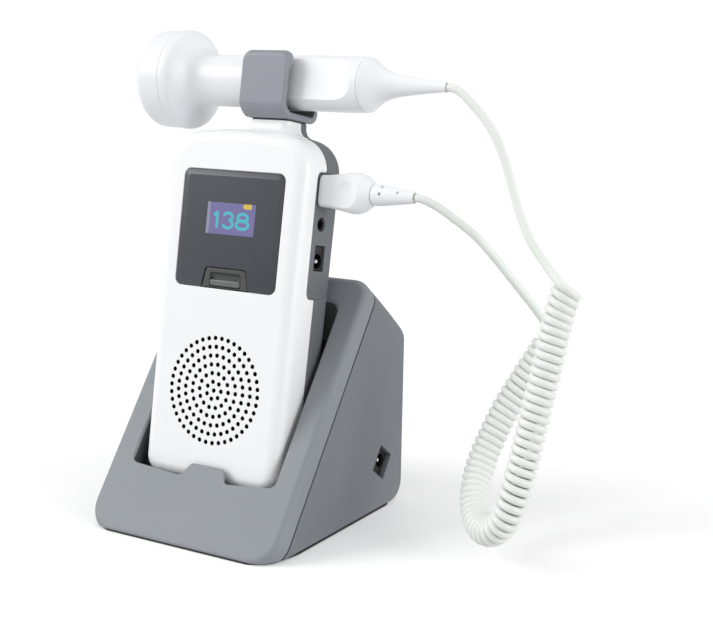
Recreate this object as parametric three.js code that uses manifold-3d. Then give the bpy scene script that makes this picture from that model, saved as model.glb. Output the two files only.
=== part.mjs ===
// Pocket fetal doppler standing in its charging dock, with the probe in the clip on top
// and the curly probe lead hanging beside it. Millimetres, +Z up, +X to the user's right,
// +Y away from the user. The origin is on the table, under the middle of the bounding box
// of everything but the lead and its plug.
import * as THREE from 'three';
import { mergeVertices } from 'three/addons/utils/BufferGeometryUtils.js';
import Module from 'manifold-3d';

const wasm = await Module();
wasm.setup();

// ---------------------------------------------------------------- driving dimensions
const SHIFT = [-13.8, -48.671, 0];        // dock-centred frame -> object origin

// handheld unit, in its own leaning frame: x across, dep behind the front face, s up the unit
const UNIT_LEAN = 9.484;                 // degrees back from vertical
const UNIT_ORIGIN = [0, 17.909, 8];      // where x = dep = s = 0 lies
const UNIT_W_TOP = 31.25;                // half widths
const UNIT_W_BOTTOM = 30.4;
const UNIT_S0 = 11.0;                    // bottom end
const UNIT_S1 = 145.3;                   // where the two halves of the crowned top edge would meet
const UNIT_CROWN = 3.1;                  // how far the top corners sit below the crown
const UNIT_DEPTH = 27.0;
const PARTING = 14.7;                    // plane between the front and rear shells
const SHELL_WALL = 2.2;
const GAP = 0.3;                         // working clearance between touching pieces

// front face features
const WINDOW = { hw: 22.9, s0: 84.4, s1: 128.8, r: 3.0, depth: 1.3 };
const KEY = { hwBottom: 10.8, hwTop: 9.2, s0: 84.4, s1: 92.4 };
const KEY_TRAVEL = 0.8;
const GRILLE = { s: 46.5, pitch: 3.28, rings: 6, hole: 0.82 };

// jack side (right): recess in the front shell and the grey panel that fills it
const RECESS = { dep: 9.4, s0: 84.1, s1: 130.9, r: 3.0, back: 25.4 };
const PANEL_X = 30.0;
const HEADPHONE = { s: 112.0, dep: 16.0, r: 2.6 };
const DC = { s0: 94.65, s1: 104.2, d0: 13.4, d1: 20.2, holeS: 98.2, holeDep: 16.7, holeR: 2.85 };
const PLUG_AXIS = { s: 124.5, dep: 15.5 };
const VOLUME_KEYS = { dep: 10.5, up: 112.0, down: 98.0, half: 6.0, halfDep: 1.9 };

// neck and clip
const NECK = { x: 9.0, hw: 8.8, s1: 149.0, d0: 5.5, d1: 20.5 };
const CLIP = { x0: -1.4, x1: 18.6, s0: 149.3, s1: 173.8, depth: 24.5, wall: 2.6, lip: 4.6 };

// probe, turned about its own axis parallel to x
const PROBE_AXIS = { s: 163.6, dep: 13.3 };
const PROBE_FLAT_TILT = 12.4;            // degrees, the grip flats face up by this much

// dock: side profile in (y, z), half width, and the sloping front plane
const DOCK_HW = 42.93;
const SLOPE = 54.04;                     // degrees from the table
const SLOPE_LEN = 116.6;
const BEZEL_T = 7.1;                     // bezel thickness measured square to the slope
const DOCK_BACK = 95.84;
const DOCK_BACK_TOP = 69.38;
const RIDGE = [68.47, 94.39];
const DOCK_BOTTOM = 2.0;
const POCKET = { hw: 32.6, front: -4.0, back: 30.9, floor: 10.65 };
const TAB = { x0: -9.3, x1: 11.4, top: 33.0 };
const PIN_X = 8.0, PIN_DEP = 19.0;
const DOCK_JACK = { y: 79.0, z: 19.5, along: 5.35, across: 5.0 };

// lead: 3 mm round cord, coiled in the middle
const CORD_D = 3.0;
const COIL_OD = 11.3;

// ---------------------------------------------------------------- solids
const V2 = (x, y) => new THREE.Vector2(x, y);
const V3 = (x, y, z) => new THREE.Vector3(x, y, z);

function solid(geometry) {
  let g = geometry.clone();
  for (const name of Object.keys(g.attributes)) if (name !== 'position') g.deleteAttribute(name);
  g = mergeVertices(g, 1e-4);
  const p = g.attributes.position;
  let idx = Array.from(g.index.array);
  const keep = [];
  for (let i = 0; i < idx.length; i += 3) {
    const [a, b, c] = [idx[i], idx[i + 1], idx[i + 2]];
    if (a !== b && b !== c && c !== a) keep.push(a, b, c);
  }
  idx = keep;
  const at = (i) => V3(p.getX(i), p.getY(i), p.getZ(i));
  let vol = 0;
  for (let i = 0; i < idx.length; i += 3) vol += at(idx[i]).dot(at(idx[i + 1]).cross(at(idx[i + 2])));
  if (vol < 0) for (let i = 0; i < idx.length; i += 3) [idx[i + 1], idx[i + 2]] = [idx[i + 2], idx[i + 1]];
  return new wasm.Manifold(new wasm.Mesh({
    numProp: 3, vertProperties: new Float32Array(p.array), triVerts: new Uint32Array(idx),
  }));
}
const cut = (a, ...bs) => bs.reduce((m, b) => m.subtract(b), a);
const join = (a, ...bs) => bs.reduce((m, b) => m.add(b), a);
const common = (a, b) => a.intersect(b);
function geometryOf(m) {
  const mesh = m.getMesh();
  const n = mesh.numProp, src = mesh.vertProperties, count = src.length / n;
  const pos = new Float32Array(count * 3);
  for (let i = 0; i < count; i++) for (let k = 0; k < 3; k++) pos[3 * i + k] = src[n * i + k];
  const g = new THREE.BufferGeometry();
  g.setAttribute('position', new THREE.BufferAttribute(pos, 3));
  g.setIndex(new THREE.BufferAttribute(new Uint32Array(mesh.triVerts), 1));
  return g;
}

// polygon with rounded corners: [[x, y, radius], ...]
function rounded(points, n = 4) {
  const out = [];
  const N = points.length;
  for (let i = 0; i < N; i++) {
    const [px, py, r = 0] = points[i];
    if (r <= 0) { out.push(V2(px, py)); continue; }
    const a = points[(i + N - 1) % N], b = points[(i + 1) % N];
    const u = V2(a[0] - px, a[1] - py).normalize(), v = V2(b[0] - px, b[1] - py).normalize();
    const half = Math.acos(THREE.MathUtils.clamp(u.dot(v), -1, 1)) / 2;
    const reach = r / Math.tan(half);
    const start = V2(px, py).addScaledVector(u, reach);
    const bis = u.clone().add(v).normalize();
    const c = V2(px, py).addScaledVector(bis, r / Math.sin(half));
    const a0 = Math.atan2(start.y - c.y, start.x - c.x);
    const end = V2(px, py).addScaledVector(v, reach);
    let sweep = Math.atan2(end.y - c.y, end.x - c.x) - a0;
    while (sweep > Math.PI) sweep -= 2 * Math.PI;
    while (sweep < -Math.PI) sweep += 2 * Math.PI;
    for (let k = 0; k <= n; k++) {
      const t = a0 + sweep * k / n;
      out.push(V2(c.x + r * Math.cos(t), c.y + r * Math.sin(t)));
    }
  }
  return new THREE.Shape(out);
}
const rect = (x0, y0, x1, y1, r = 0, n = 4) =>
  rounded([[x0, y0, r], [x1, y0, r], [x1, y1, r], [x0, y1, r]], n);

// extrusion of a shape from w = a to w = b with both rims rounded by r
function prism(shape, a, b, r = 0, seg = 2) {
  const g = new THREE.ExtrudeGeometry(shape, {
    depth: b - a - 2 * r, steps: 1, curveSegments: 4,
    bevelEnabled: r > 0, bevelThickness: r, bevelSize: r, bevelOffset: -r, bevelSegments: seg,
  });
  g.translate(0, 0, a + r);
  return g;
}
const X = V3(1, 0, 0), Y = V3(0, 1, 0), Z = V3(0, 0, 1);
const basis = (u, v, w, o = V3(0, 0, 0)) => new THREE.Matrix4().makeBasis(u, v, w).setPosition(o);
// shape in (x, s), thickness along dep
const onFace = (shape, d0, d1, r, seg) => prism(shape, -d1, -d0, r, seg).rotateX(Math.PI / 2);
// shape in (y, z), thickness along x
const onSide = (shape, x0, x1, r, seg) => prism(shape, x0, x1, r, seg).applyMatrix4(basis(Y, Z, X));
const box = (x0, x1, y0, y1, z0, z1) =>
  new THREE.BoxGeometry(x1 - x0, y1 - y0, z1 - z0).translate((x0 + x1) / 2, (y0 + y1) / 2, (z0 + z1) / 2);
const rodX = (x0, x1, y, z, r, n = 12) =>
  new THREE.CylinderGeometry(r, r, x1 - x0, n).rotateZ(-Math.PI / 2).translate((x0 + x1) / 2, y, z);
const rodY = (x, y0, y1, z, r, n = 12) =>
  new THREE.CylinderGeometry(r, r, y1 - y0, n).translate(x, (y0 + y1) / 2, z);
const rodZ = (x, y, z0, z1, r, n = 12) =>
  new THREE.CylinderGeometry(r, r, z1 - z0, n).rotateX(Math.PI / 2).translate(x, y, (z0 + z1) / 2);
// profile [[axial, radius], ...] turned about an axis parallel to x
const turnedX = (profile, y, z, n = 24) =>
  new THREE.LatheGeometry(profile.map(([a, r]) => V2(r, a)), n).rotateZ(-Math.PI / 2).translate(0, y, z);
// profile [[dep, radius], ...] turned about an axis parallel to dep
const turnedY = (profile, x, z, n = 24) =>
  new THREE.LatheGeometry(profile.map(([a, r]) => V2(r, a)), n).translate(x, 0, z);
const turnedZ = (profile, x, y, n = 24) =>
  new THREE.LatheGeometry(profile.map(([a, r]) => V2(r, a)), n).rotateX(Math.PI / 2).translate(x, y, 0);

const rad = THREE.MathUtils.degToRad;
const unitMatrix = new THREE.Matrix4().makeRotationX(-rad(UNIT_LEAN)).setPosition(...UNIT_ORIGIN);
const slopeMatrix = new THREE.Matrix4().makeRotationX(rad(SLOPE));
const inUnit = (g) => g.applyMatrix4(unitMatrix);
const inSlope = (g) => g.applyMatrix4(slopeMatrix);

// ---------------------------------------------------------------- materials
const mat = (color, roughness, metalness = 0) => new THREE.MeshStandardMaterial({ color, roughness, metalness });
const WHITE = mat(0xf4f5f7, 0.45), GREY = mat(0x80868c, 0.5), CLIP_GREY = mat(0x84898f, 0.42);
const DOCK_FRONT = mat(0x989ea6, 0.55), DOCK_SIDE = mat(0x82888f, 0.55);
const GLOSS = mat(0x4d5156, 0.15), SCREEN = mat(0x7c78a8, 0.3), KEYGREY = mat(0x3c4044, 0.35);
const BLACK = mat(0x16181a, 0.5), RUBBER = mat(0x1c1d1f, 0.9), BOARD = mat(0x1f6b3c, 0.5);
const STEEL = mat(0xb8bcc0, 0.3, 0.9), GOLD = mat(0xd0a850, 0.3, 0.9), CELL = mat(0x3b6ea5, 0.5);
const CONE = mat(0x2a2c30, 0.8), PROBE_WHITE = mat(0xf1f3f5, 0.4), CERAMIC = mat(0xc9b48a, 0.5);
const CORD = mat(0xe6ece3, 0.5);

const object = new THREE.Group();
object.position.set(...SHIFT);
const dock = new THREE.Group();
const unit = new THREE.Group();
unit.rotation.x = -rad(UNIT_LEAN);
unit.position.set(...UNIT_ORIGIN);
object.add(dock, unit);
function piece(parent, name, m, material) {
  const mesh = new THREE.Mesh(m.isBufferGeometry ? m : geometryOf(m), material);
  mesh.name = name;
  parent.add(mesh);
  return mesh;
}

// ---------------------------------------------------------------- unit shells
function unitShape(inset = 0, n = 4) {
  const t = UNIT_W_TOP - inset, b = UNIT_W_BOTTOM - inset;
  return rounded([
    [-b, UNIT_S0 + inset, 7 - inset * 0.8], [b, UNIT_S0 + inset, 7 - inset * 0.8],
    [t, UNIT_S1 - UNIT_CROWN - inset, 13 - inset], [0, UNIT_S1 - inset, 150],
    [-t, UNIT_S1 - UNIT_CROWN - inset, 13 - inset],
  ], n);
}
const keyShape = (o = 0) => rounded([
  [-KEY.hwBottom - o, KEY.s0 - o, 0.4], [KEY.hwBottom + o, KEY.s0 - o, 0.4],
  [KEY.hwTop + o, KEY.s1 + o, 1.6], [-KEY.hwTop - o, KEY.s1 + o, 1.6],
], 3);
const neckShape = rounded([
  [-5.5, 141.0, 2.2], [23.5, 141.0, 2.2], [NECK.x + NECK.hw + 0.4, 146.4, 2.5], [NECK.x + NECK.hw, NECK.s1 + 4, 2.2],
  [NECK.x - NECK.hw, NECK.s1 + 4, 2.2], [NECK.x - NECK.hw - 0.4, 146.4, 2.5],
], 2);
const SCREWS = [[-21, 133], [21, 133], [-21, 88], [21, 88]];
const sideShape = (d0, s0, s1, d1, r) => rounded([[d0, s0, r], [d1, s0, 0], [d1, s1, 0], [d0, s1, 2.0]], 3);

let front = common(solid(onFace(unitShape(0, 4), 0, 2 * PARTING, 5, 3)), solid(box(-40, 40, -2, PARTING - 0.15, 0, 160)));
front = cut(front, solid(onFace(unitShape(SHELL_WALL, 3), 2.4, 27, 3.2, 1)));
front = join(front,
  common(solid(onFace(neckShape, NECK.d0, 27, 2.0, 2)), solid(box(-20, 40, 0, PARTING - 0.15, 143, NECK.s1))),
  // seat ring around the loudspeaker
  cut(solid(rodY(0, 2.2, 6.0, GRILLE.s, 22.4, 24)), solid(rodY(0, 1.0, 7.0, GRILLE.s, 20.9, 24))),
  ...SCREWS.map(([x, s]) => solid(rodY(x, 2.0, 14.0, s, 3.0, 10))));
front = cut(front,
  solid(onFace(rect(-WINDOW.hw, WINDOW.s0, WINDOW.hw, WINDOW.s1, WINDOW.r), -1, WINDOW.depth)),
  solid(onFace(rect(-19.5, 96.0, 19.5, 126.0, 2, 2), -1, 4)),
  solid(onFace(keyShape(0.05), -1, 4)),
  solid(onSide(sideShape(RECESS.dep, RECESS.s0, RECESS.s1, 20, RECESS.r + 0.3), 28.6, 36)),
  ...SCREWS.map(([x, s]) => solid(rodY(x, 8.0, 15.0, s, 1.5, 8))),
  solid(onSide(rect(VOLUME_KEYS.dep - 2.2, VOLUME_KEYS.up - 6.3, VOLUME_KEYS.dep + 2.2, VOLUME_KEYS.up + 6.3, 2.1, 2), -36, -28)),
  solid(onSide(rect(VOLUME_KEYS.dep - 2.2, VOLUME_KEYS.down - 6.3, VOLUME_KEYS.dep + 2.2, VOLUME_KEYS.down + 6.3, 2.1, 2), -36, -28)),
  solid(rodZ(NECK.x, 10.0, 140.5, 151, 1.4, 8)));
// loudspeaker grille: a centre hole and six rings of 7, 14, 21 ... holes
const holes = [];
for (let ring = 0; ring <= GRILLE.rings; ring++) {
  const count = ring === 0 ? 1 : 7 * ring;
  for (let k = 0; k < count; k++) {
    const a = 2 * Math.PI * k / count;
    const x = ring * GRILLE.pitch * Math.cos(a), s = GRILLE.s + ring * GRILLE.pitch * Math.sin(a);
    holes.push(solid(rodY(x, -0.5, 3.0, s, GRILLE.hole, 4)));
  }
}
front = cut(front, ...holes);
piece(unit, 'front_shell', front, WHITE);

const opening = { hw: 23.5, s0: 20.0, s1: 72.0 };
const coverRecess = { hw: 25.7, s0: 17.4, s1: 80.3, r: 3.2 };
let rear = common(solid(onFace(unitShape(0, 4), UNIT_DEPTH - 2 * PARTING, UNIT_DEPTH, 5, 2)), solid(box(-40, 40, PARTING + 0.15, 30, 0, 160)));
rear = cut(rear, solid(onFace(unitShape(SHELL_WALL, 3), 0, 24.6, 3.2, 1)));
rear = join(rear,
  common(solid(onFace(neckShape, 0, NECK.d1, 2.0, 2)), solid(box(-20, 40, PARTING + 0.15, 21, 143, NECK.s1))),
  ...SCREWS.map(([x, s]) => solid(rodY(x, 14.4, 25.0, s, 3.2, 10))),
  solid(rodY(0, 20.5, 25.0, 76, 3.2, 10)));
rear = cut(rear, solid(box(PANEL_X, 40, 5, RECESS.back, RECESS.s0 + 0.3, RECESS.s1 - 0.3)));
rear = join(rear, solid(onSide(sideShape(RECESS.dep + GAP, RECESS.s0 + GAP, RECESS.s1 - GAP, RECESS.back - 0.2, RECESS.r), 27.9, PANEL_X)));
rear = cut(rear,
  solid(onFace(rect(-coverRecess.hw, coverRecess.s0, coverRecess.hw, coverRecess.s1, coverRecess.r, 3), 25.5, 28)),
  solid(onFace(rect(-opening.hw, opening.s0, opening.hw, opening.s1, 2, 2), 23, 28)),
  solid(rodY(0, 20, 26, 76, 1.5, 8)),
  ...SCREWS.map(([x, s]) => solid(rodY(x, 14, 27.5, s, 1.5, 8))),
  ...SCREWS.map(([x, s]) => solid(rodY(x, 25.0, 27.5, s, 2.9, 12))),
  solid(rodX(26, 32, HEADPHONE.dep, HEADPHONE.s, HEADPHONE.r, 16)),
  solid(box(26, 32, DC.d0, DC.d1, DC.s0, DC.s1)),
  solid(rodX(26, 32, PLUG_AXIS.dep, PLUG_AXIS.s, 3.0, 12)),
  solid(rodZ(NECK.x, 17.7, 140.5, 151, 1.4, 8)),
  ...[-PIN_X, PIN_X].map((x) => solid(rodZ(x, PIN_DEP, 10, 12.1, 2.8, 12))));
piece(unit, 'rear_shell', rear, GREY);

// battery bay cover and its screw
piece(unit, 'battery_cover', cut(
  solid(onFace(rect(-coverRecess.hw + GAP, coverRecess.s0 + GAP, coverRecess.hw - GAP, coverRecess.s1 - GAP, 3, 3), 25.8, 27.0)),
  solid(rodY(0, 25, 28, 76, 1.6, 8)), solid(rodY(0, 26.4, 28, 76, 2.9, 12)),
  solid(onFace(rect(-7, 20.5, 7, 23.5, 1.4, 3), 26.4, 28))), GREY);
piece(unit, 'battery_cover_screw', join(solid(rodY(0, 26.7, 27.0, 76, 2.6, 12)), solid(rodY(0, 21.2, 26.8, 76, 1.2, 8))), STEEL);
SCREWS.forEach(([x, s], i) => piece(unit, `shell_screw_${i + 1}`,
  join(solid(rodY(x, 25.3, 26.6, s, 2.5, 12)), solid(rodY(x, 8.6, 25.5, s, 1.2, 8))), STEEL));
piece(unit, 'battery_pack', solid(onFace(rect(-22.6, 21, 22.6, 71, 3, 3), 15.4, 25.3, 2.0, 1)), CELL);

// window, display, key and its switch, board
piece(unit, 'display_window', cut(
  solid(onFace(rect(-WINDOW.hw + 0.2, WINDOW.s0 + 0.2, WINDOW.hw - 0.2, WINDOW.s1 - 0.2, 2.8), 0.05, 1.0)),
  solid(onFace(keyShape(0.05), -1, 3))), GLOSS);
piece(unit, 'display_module', solid(onFace(rect(-20.5, 95.0, 20.5, 127.0, 1, 1), 2.75, 8.7)), SCREEN);
piece(unit, 'power_button', join(
  solid(onFace(keyShape(-0.3), 0.35, 3.0)),
  solid(onFace(rect(-6.9, 85.5, 6.9, 87.9, 0.8, 2), 0.0, 1.0)),
  solid(onFace(rect(-12.2, 83.4, 12.2, 93.6, 0.5, 1), 2.8, 3.8)),
  solid(rodY(0, 3.5, 5.0, 88.5, 1.6, 10))), KEYGREY);
piece(unit, 'power_switch', join(solid(box(-3, 3, 6.9, 8.7, 85.5, 91.5)), solid(rodY(0, 6.1, 7.0, 88.5, 1.3, 10))), BLACK);
piece(unit, 'main_pcb', cut(solid(onFace(rounded([[-26.5, 72, 2], [26.5, 72, 2], [26.5, 138.5, 10], [-26.5, 138.5, 10]], 3), 9.0, 10.6)),
  ...SCREWS.map(([x, s]) => solid(rodY(x, 8, 12, s, 3.4, 10)))), BOARD);
for (const [name, s] of [['volume_up_key', VOLUME_KEYS.up], ['volume_down_key', VOLUME_KEYS.down]]) {
  piece(unit, name, join(
    solid(onSide(rect(VOLUME_KEYS.dep - VOLUME_KEYS.halfDep, s - VOLUME_KEYS.half, VOLUME_KEYS.dep + VOLUME_KEYS.halfDep, s + VOLUME_KEYS.half, 1.8, 3), -31.9, -28.2)),
    solid(onSide(rect(VOLUME_KEYS.dep - 2.7, s - 6.8, VOLUME_KEYS.dep + 2.7, s + 6.8, 0.5, 1), -28.6, -27.6))), GREY);
}

// loudspeaker: basket with magnet, and the cone hung in it
piece(unit, 'speaker_frame', solid(turnedY([
  [11.2, 0], [11.2, 9.8], [9.2, 9.8], [4.9, 16.6], [3.0, 17.4], [3.0, 20.5], [4.4, 20.5], [5.2, 18.4],
  [9.4, 11.5], [14.0, 11.5], [14.0, 0]], 0, GRILLE.s, 18)), STEEL);
piece(unit, 'speaker_cone', solid(turnedY([
  [4.6, 0], [5.2, 3.8], [7.2, 6.2], [3.7, 15.4], [3.4, 16.7], [4.1, 16.5], [4.6, 15.5], [8.3, 6.4], [6.1, 3.6], [5.5, 0]],
  0, GRILLE.s, 18)), CONE);

// sockets behind the side panel
piece(unit, 'probe_socket', cut(
  solid(box(15, 27.6, 11.0, 20.0, 119.0, 129.4)), solid(rodX(21.5, 28, PLUG_AXIS.dep, PLUG_AXIS.s, 3.0, 12))), BLACK);
piece(unit, 'headphone_jack', cut(
  join(solid(box(16, 27.6, 12.8, 19.3, 108.8, 115.2)), solid(rodX(27.4, 29.5, HEADPHONE.dep, HEADPHONE.s, 2.3, 16))),
  solid(rodX(18, 30, HEADPHONE.dep, HEADPHONE.s, 1.8, 12))), BLACK);
piece(unit, 'dc_jack', join(cut(
  solid(box(17, 29.4, 13.7, 19.9, 94.95, 103.9)), solid(rodX(20, 30, DC.holeDep, DC.holeS, 2.8, 16))),
  solid(rodX(19, 28.6, DC.holeDep, DC.holeS, 0.9, 8))), BLACK);
for (const [name, x] of [['charge_pad_left', -PIN_X], ['charge_pad_right', PIN_X]]) {
  piece(unit, name, solid(rodZ(x, PIN_DEP, 11.1, 11.8, 2.5, 12)), GOLD);
}

// hook-shaped clip on the neck, open to the back, with a saddle rib under the probe
let clip = solid(onSide(rounded([
  [0, CLIP.s0, 5.5], [CLIP.depth, CLIP.s0, 4.2], [CLIP.depth, 154.6, 0.9], [CLIP.depth - CLIP.wall, 154.6, 0.9],
  [CLIP.depth - CLIP.wall, CLIP.s0 + CLIP.wall - 0.1, 1.9], [CLIP.wall, CLIP.s0 + CLIP.wall - 0.1, 3.2],
  [CLIP.wall, 171.4, 1.2], [CLIP.lip, 171.4, 0.6], [CLIP.lip, CLIP.s1, 1.0], [0, CLIP.s1, 2.3],
], 4), CLIP.x0, CLIP.x1));
clip = join(clip, solid(box(2.5, 14.5, 11.6, 15.0, 151.0, 153.1)));
// rounded front corners of the plate as seen from the front
clip = common(clip, solid(onFace(rect(CLIP.x0, CLIP.s0 - 1, CLIP.x1, CLIP.s1, 3.2, 4), -1, 30)));
clip = cut(clip, ...[10.0, 17.7].flatMap((d) => [solid(rodZ(NECK.x, d, 148, 155, 1.4, 8)), solid(rodZ(NECK.x, d, 150.2, 155, 2.6, 12))]));
piece(unit, 'probe_clip', clip, CLIP_GREY);
[[10.0, 1], [17.7, 2]].forEach(([d, i]) => piece(unit, `clip_screw_${i}`,
  join(solid(rodZ(NECK.x, d, 150.5, 151.5, 2.2, 12)), solid(rodZ(NECK.x, d, 141.6, 150.7, 1.1, 8))), STEEL));

// ---------------------------------------------------------------- probe
const P = PROBE_AXIS;
const probe = new THREE.Group();
unit.add(probe);
piece(probe, 'probe_face_cap', solid(turnedX([
  [-49.9, 0], [-49.6, 8], [-48.9, 14.5], [-48.0, 17.2], [-46.4, 18.4], [-36.45, 18.75],
  [-36.45, 16.6], [-45.6, 16.2], [-46.6, 14.5], [-46.6, 0]], P.dep, P.s, 24)), PROBE_WHITE);
piece(probe, 'transducer_disc', solid(rodX(-46.2, -43.8, P.dep, P.s, 13.5, 24)), CERAMIC);
piece(probe, 'transducer_backing', solid(rodX(-43.4, -38.5, P.dep, P.s, 14.2, 24)), BLACK);
let handle = solid(turnedX([
  [-36.15, 16.9], [-36.15, 19.0], [-33.2, 18.95], [-30.6, 18.1], [-27.8, 16.1], [-25.2, 13.4], [-23.3, 10.9], [-21.6, 9.85],
  [-10, 9.8], [5, 9.95], [18, 10.15], [42, 10.15], [45.85, 10.0],
  [45.85, 7.6], [43.5, 5.4], [-18, 5.4], [-22, 7.0], [-26.5, 12.0], [-31, 15.8], [-34, 16.7]].concat([[-36.15, 16.9]]), P.dep, P.s, 24));
const flatAxis = (sign) => {
  const a = rad(PROBE_FLAT_TILT);
  const n = V3(0, -Math.cos(a) * sign, Math.sin(a) * sign);
  return basis(X, n, X.clone().cross(n), V3(0, P.dep, P.s));
};
const flatCut = rounded([[-4, 10.6], [2, 9.3], [7, 7.75], [11, 7.05], [34, 7.0], [45, 10.25], [45, 15], [-4, 15]]);
for (const sign of [1, -1]) handle = cut(handle, solid(prism(flatCut, -13, 13).applyMatrix4(flatAxis(sign))));
piece(probe, 'probe_handle', handle, PROBE_WHITE);
piece(probe, 'probe_pcb', solid(box(-16, 40, P.dep - 0.8, P.dep + 0.8, P.s - 4.6, P.s + 4.6)), BOARD);
piece(probe, 'probe_tail_boot', solid(turnedX([
  [46.15, 0], [46.15, 10.0], [47.6, 9.3], [49.2, 8.0], [50.8, 6.9], [52.4, 6.1], [55.2, 5.0], [58.2, 4.15], [64.7, 3.15],
  [70.4, 2.4], [77.5, 1.85], [77.5, 0]], P.dep, P.s, 16)), PROBE_WHITE);

// ---------------------------------------------------------------- plug in the side socket
const plug = new THREE.Group();
unit.add(plug);
piece(plug, 'plug_body', cut(solid(onFace(rounded([
  [30.3, 118.5, 1.2], [36, 118.3, 8], [44.5, 116.9, 5], [51.5, 120.4, 2], [51.5, 128.6, 2], [44.5, 132.1, 5],
  [36, 130.5, 8], [30.3, 130.1, 1.2]], 3), 11.1, 19.9, 1.15, 2)),
  solid(rodX(29, 34.5, PLUG_AXIS.dep, PLUG_AXIS.s, 2.95, 12))), PROBE_WHITE);
piece(plug, 'plug_contacts', solid(rodX(22.3, 34.2, PLUG_AXIS.dep, PLUG_AXIS.s, 2.65, 12)), STEEL);
piece(plug, 'plug_boot', solid(turnedX([
  [51.8, 0], [51.8, 4.0], [54.5, 3.9], [58.5, 3.4], [62.5, 2.9], [66.5, 2.3], [68.1, 1.95], [68.1, 0]],
  PLUG_AXIS.dep, PLUG_AXIS.s, 16)), PROBE_WHITE);

// ---------------------------------------------------------------- dock
const lift = 0.8;   // the side profile is drawn this far outside the sloping face
const profile = (i) => {
  const t = Math.tan(rad(SLOPE));
  const frontLine = (z) => z / t - lift + i / Math.sin(rad(SLOPE)) * 1.0;
  const dir = V2(DOCK_BACK - RIDGE[0], DOCK_BACK_TOP - RIDGE[1]).normalize();
  const off = V2(-dir.y, dir.x).multiplyScalar(-i);
  // ridge point: the sloping line meets the line running down to the back
  const a = V2(frontLine(0), 0), b = V2(RIDGE[0] + off.x, RIDGE[1] + off.y);
  const den = dir.x * t - dir.y;
  const k = (b.y - a.y - (b.x - a.x) * t) / den;
  const ridge = V2(b.x + dir.x * k, b.y + dir.y * k);
  const back = DOCK_BACK - i;
  const topZ = b.y + (back - b.x) * dir.y / dir.x;
  const z0 = i > 0 ? -5 : DOCK_BOTTOM;
  const foot = i > 0 ? [[84.6, z0], [84.6, DOCK_BOTTOM + i], [back, DOCK_BOTTOM + i, 8 - i]] : [[back, z0, 8]];
  return rounded([[frontLine(z0), z0], ...foot, [back, topZ, 8 - i * 0.6], [ridge.x, ridge.y]], 4);
};
const faceShape = (i, n = 5) => rounded([
  [-DOCK_HW + i, i, 12 - i], [DOCK_HW - i, i, 12 - i], [DOCK_HW - i, SLOPE_LEN - i, 8 - i], [-DOCK_HW + i, SLOPE_LEN - i, 8 - i]], n);
const dockSolid = common(
  solid(onSide(profile(0), -DOCK_HW - 1, DOCK_HW + 1)),
  solid(inSlope(prism(faceShape(0), -135, 5))));
// rim of the front face rounded by 2.6 mm: the block is met with a bevelled slab
const bezelBlock = common(dockSolid, solid(inSlope(prism(faceShape(0), -30, 0, 2.6, 2))));
const slab = (n0, n1) => solid(inSlope(box(-60, 60, -20, 140, n0, n1)));
const tubOuter = inUnit(onFace(rect(-POCKET.hw - 2, POCKET.floor - 2.2, POCKET.hw + 2, 150, 5, 2), POCKET.front - 2, POCKET.back + 2));
let bezel = common(bezelBlock, slab(-BEZEL_T, 5));
bezel = cut(bezel, solid(inSlope(prism(faceShape(2.5, 3), -30, -2.6))));
bezel = join(bezel, common(solid(tubOuter), common(dockSolid, slab(-80, -1.0))));
const tabEdge = (x0, x1) => inUnit(box(x0, x1, POCKET.front, -0.7, POCKET.floor, 60));
bezel = cut(bezel,
  solid(inUnit(onFace(rect(-POCKET.hw, POCKET.floor, POCKET.hw, 180, 3.5, 3), -0.7, POCKET.back))),
  solid(tabEdge(-POCKET.hw, TAB.x0)), solid(tabEdge(TAB.x1, POCKET.hw)),
  // tab: rounded top corners, cut square to the slope
  cut(solid(inSlope(box(-20, 20, TAB.top - 6, TAB.top + 30, -9, 3))),
    solid(inSlope(prism(rounded([[TAB.x0 - 0.6, 20], [TAB.x1 + 0.6, 20], [9.9, TAB.top, 2.6], [-5.9, TAB.top, 2.6]], 3), -10, 4)))),
  ...[-PIN_X, PIN_X].map((x) => solid(inUnit(rodZ(x, PIN_DEP, 6, 12, 1.45, 10)))));
piece(dock, 'dock_bezel', bezel, DOCK_FRONT);

const jackFrame = (u0, u1, v0, v1, x0, x1) => {
  // u along the slope, v square to it, about the jack's centre
  const g = new THREE.BoxGeometry(x1 - x0, u1 - u0, v1 - v0).translate((x0 + x1) / 2, (u0 + u1) / 2, (v0 + v1) / 2);
  return g.rotateX(rad(SLOPE)).translate(0, DOCK_JACK.y, DOCK_JACK.z);
};
const bosses = [[-37.3, 24], [37.3, 24], [-37.3, 64], [37.3, 64]];
let housing = common(dockSolid, slab(-160, -BEZEL_T - GAP));
housing = cut(housing, common(solid(onSide(profile(2.3), -DOCK_HW + 2.3, DOCK_HW - 2.3)), solid(inSlope(prism(faceShape(2.3, 3), -135, 2)))));
housing = join(housing, ...bosses.map(([x, y]) => solid(rodZ(x, y, 4.6, 16, 4.0, 12))));
housing = cut(housing,
  ...bosses.map(([x, y]) => solid(rodZ(x, y, 4, 14, 1.6, 8))),
  solid(jackFrame(-DOCK_JACK.along, DOCK_JACK.along, -DOCK_JACK.across, DOCK_JACK.across, 38, 50)));
housing = cut(housing, slab(-BEZEL_T - GAP, 20));
piece(dock, 'dock_housing', housing, DOCK_SIDE);

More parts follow.
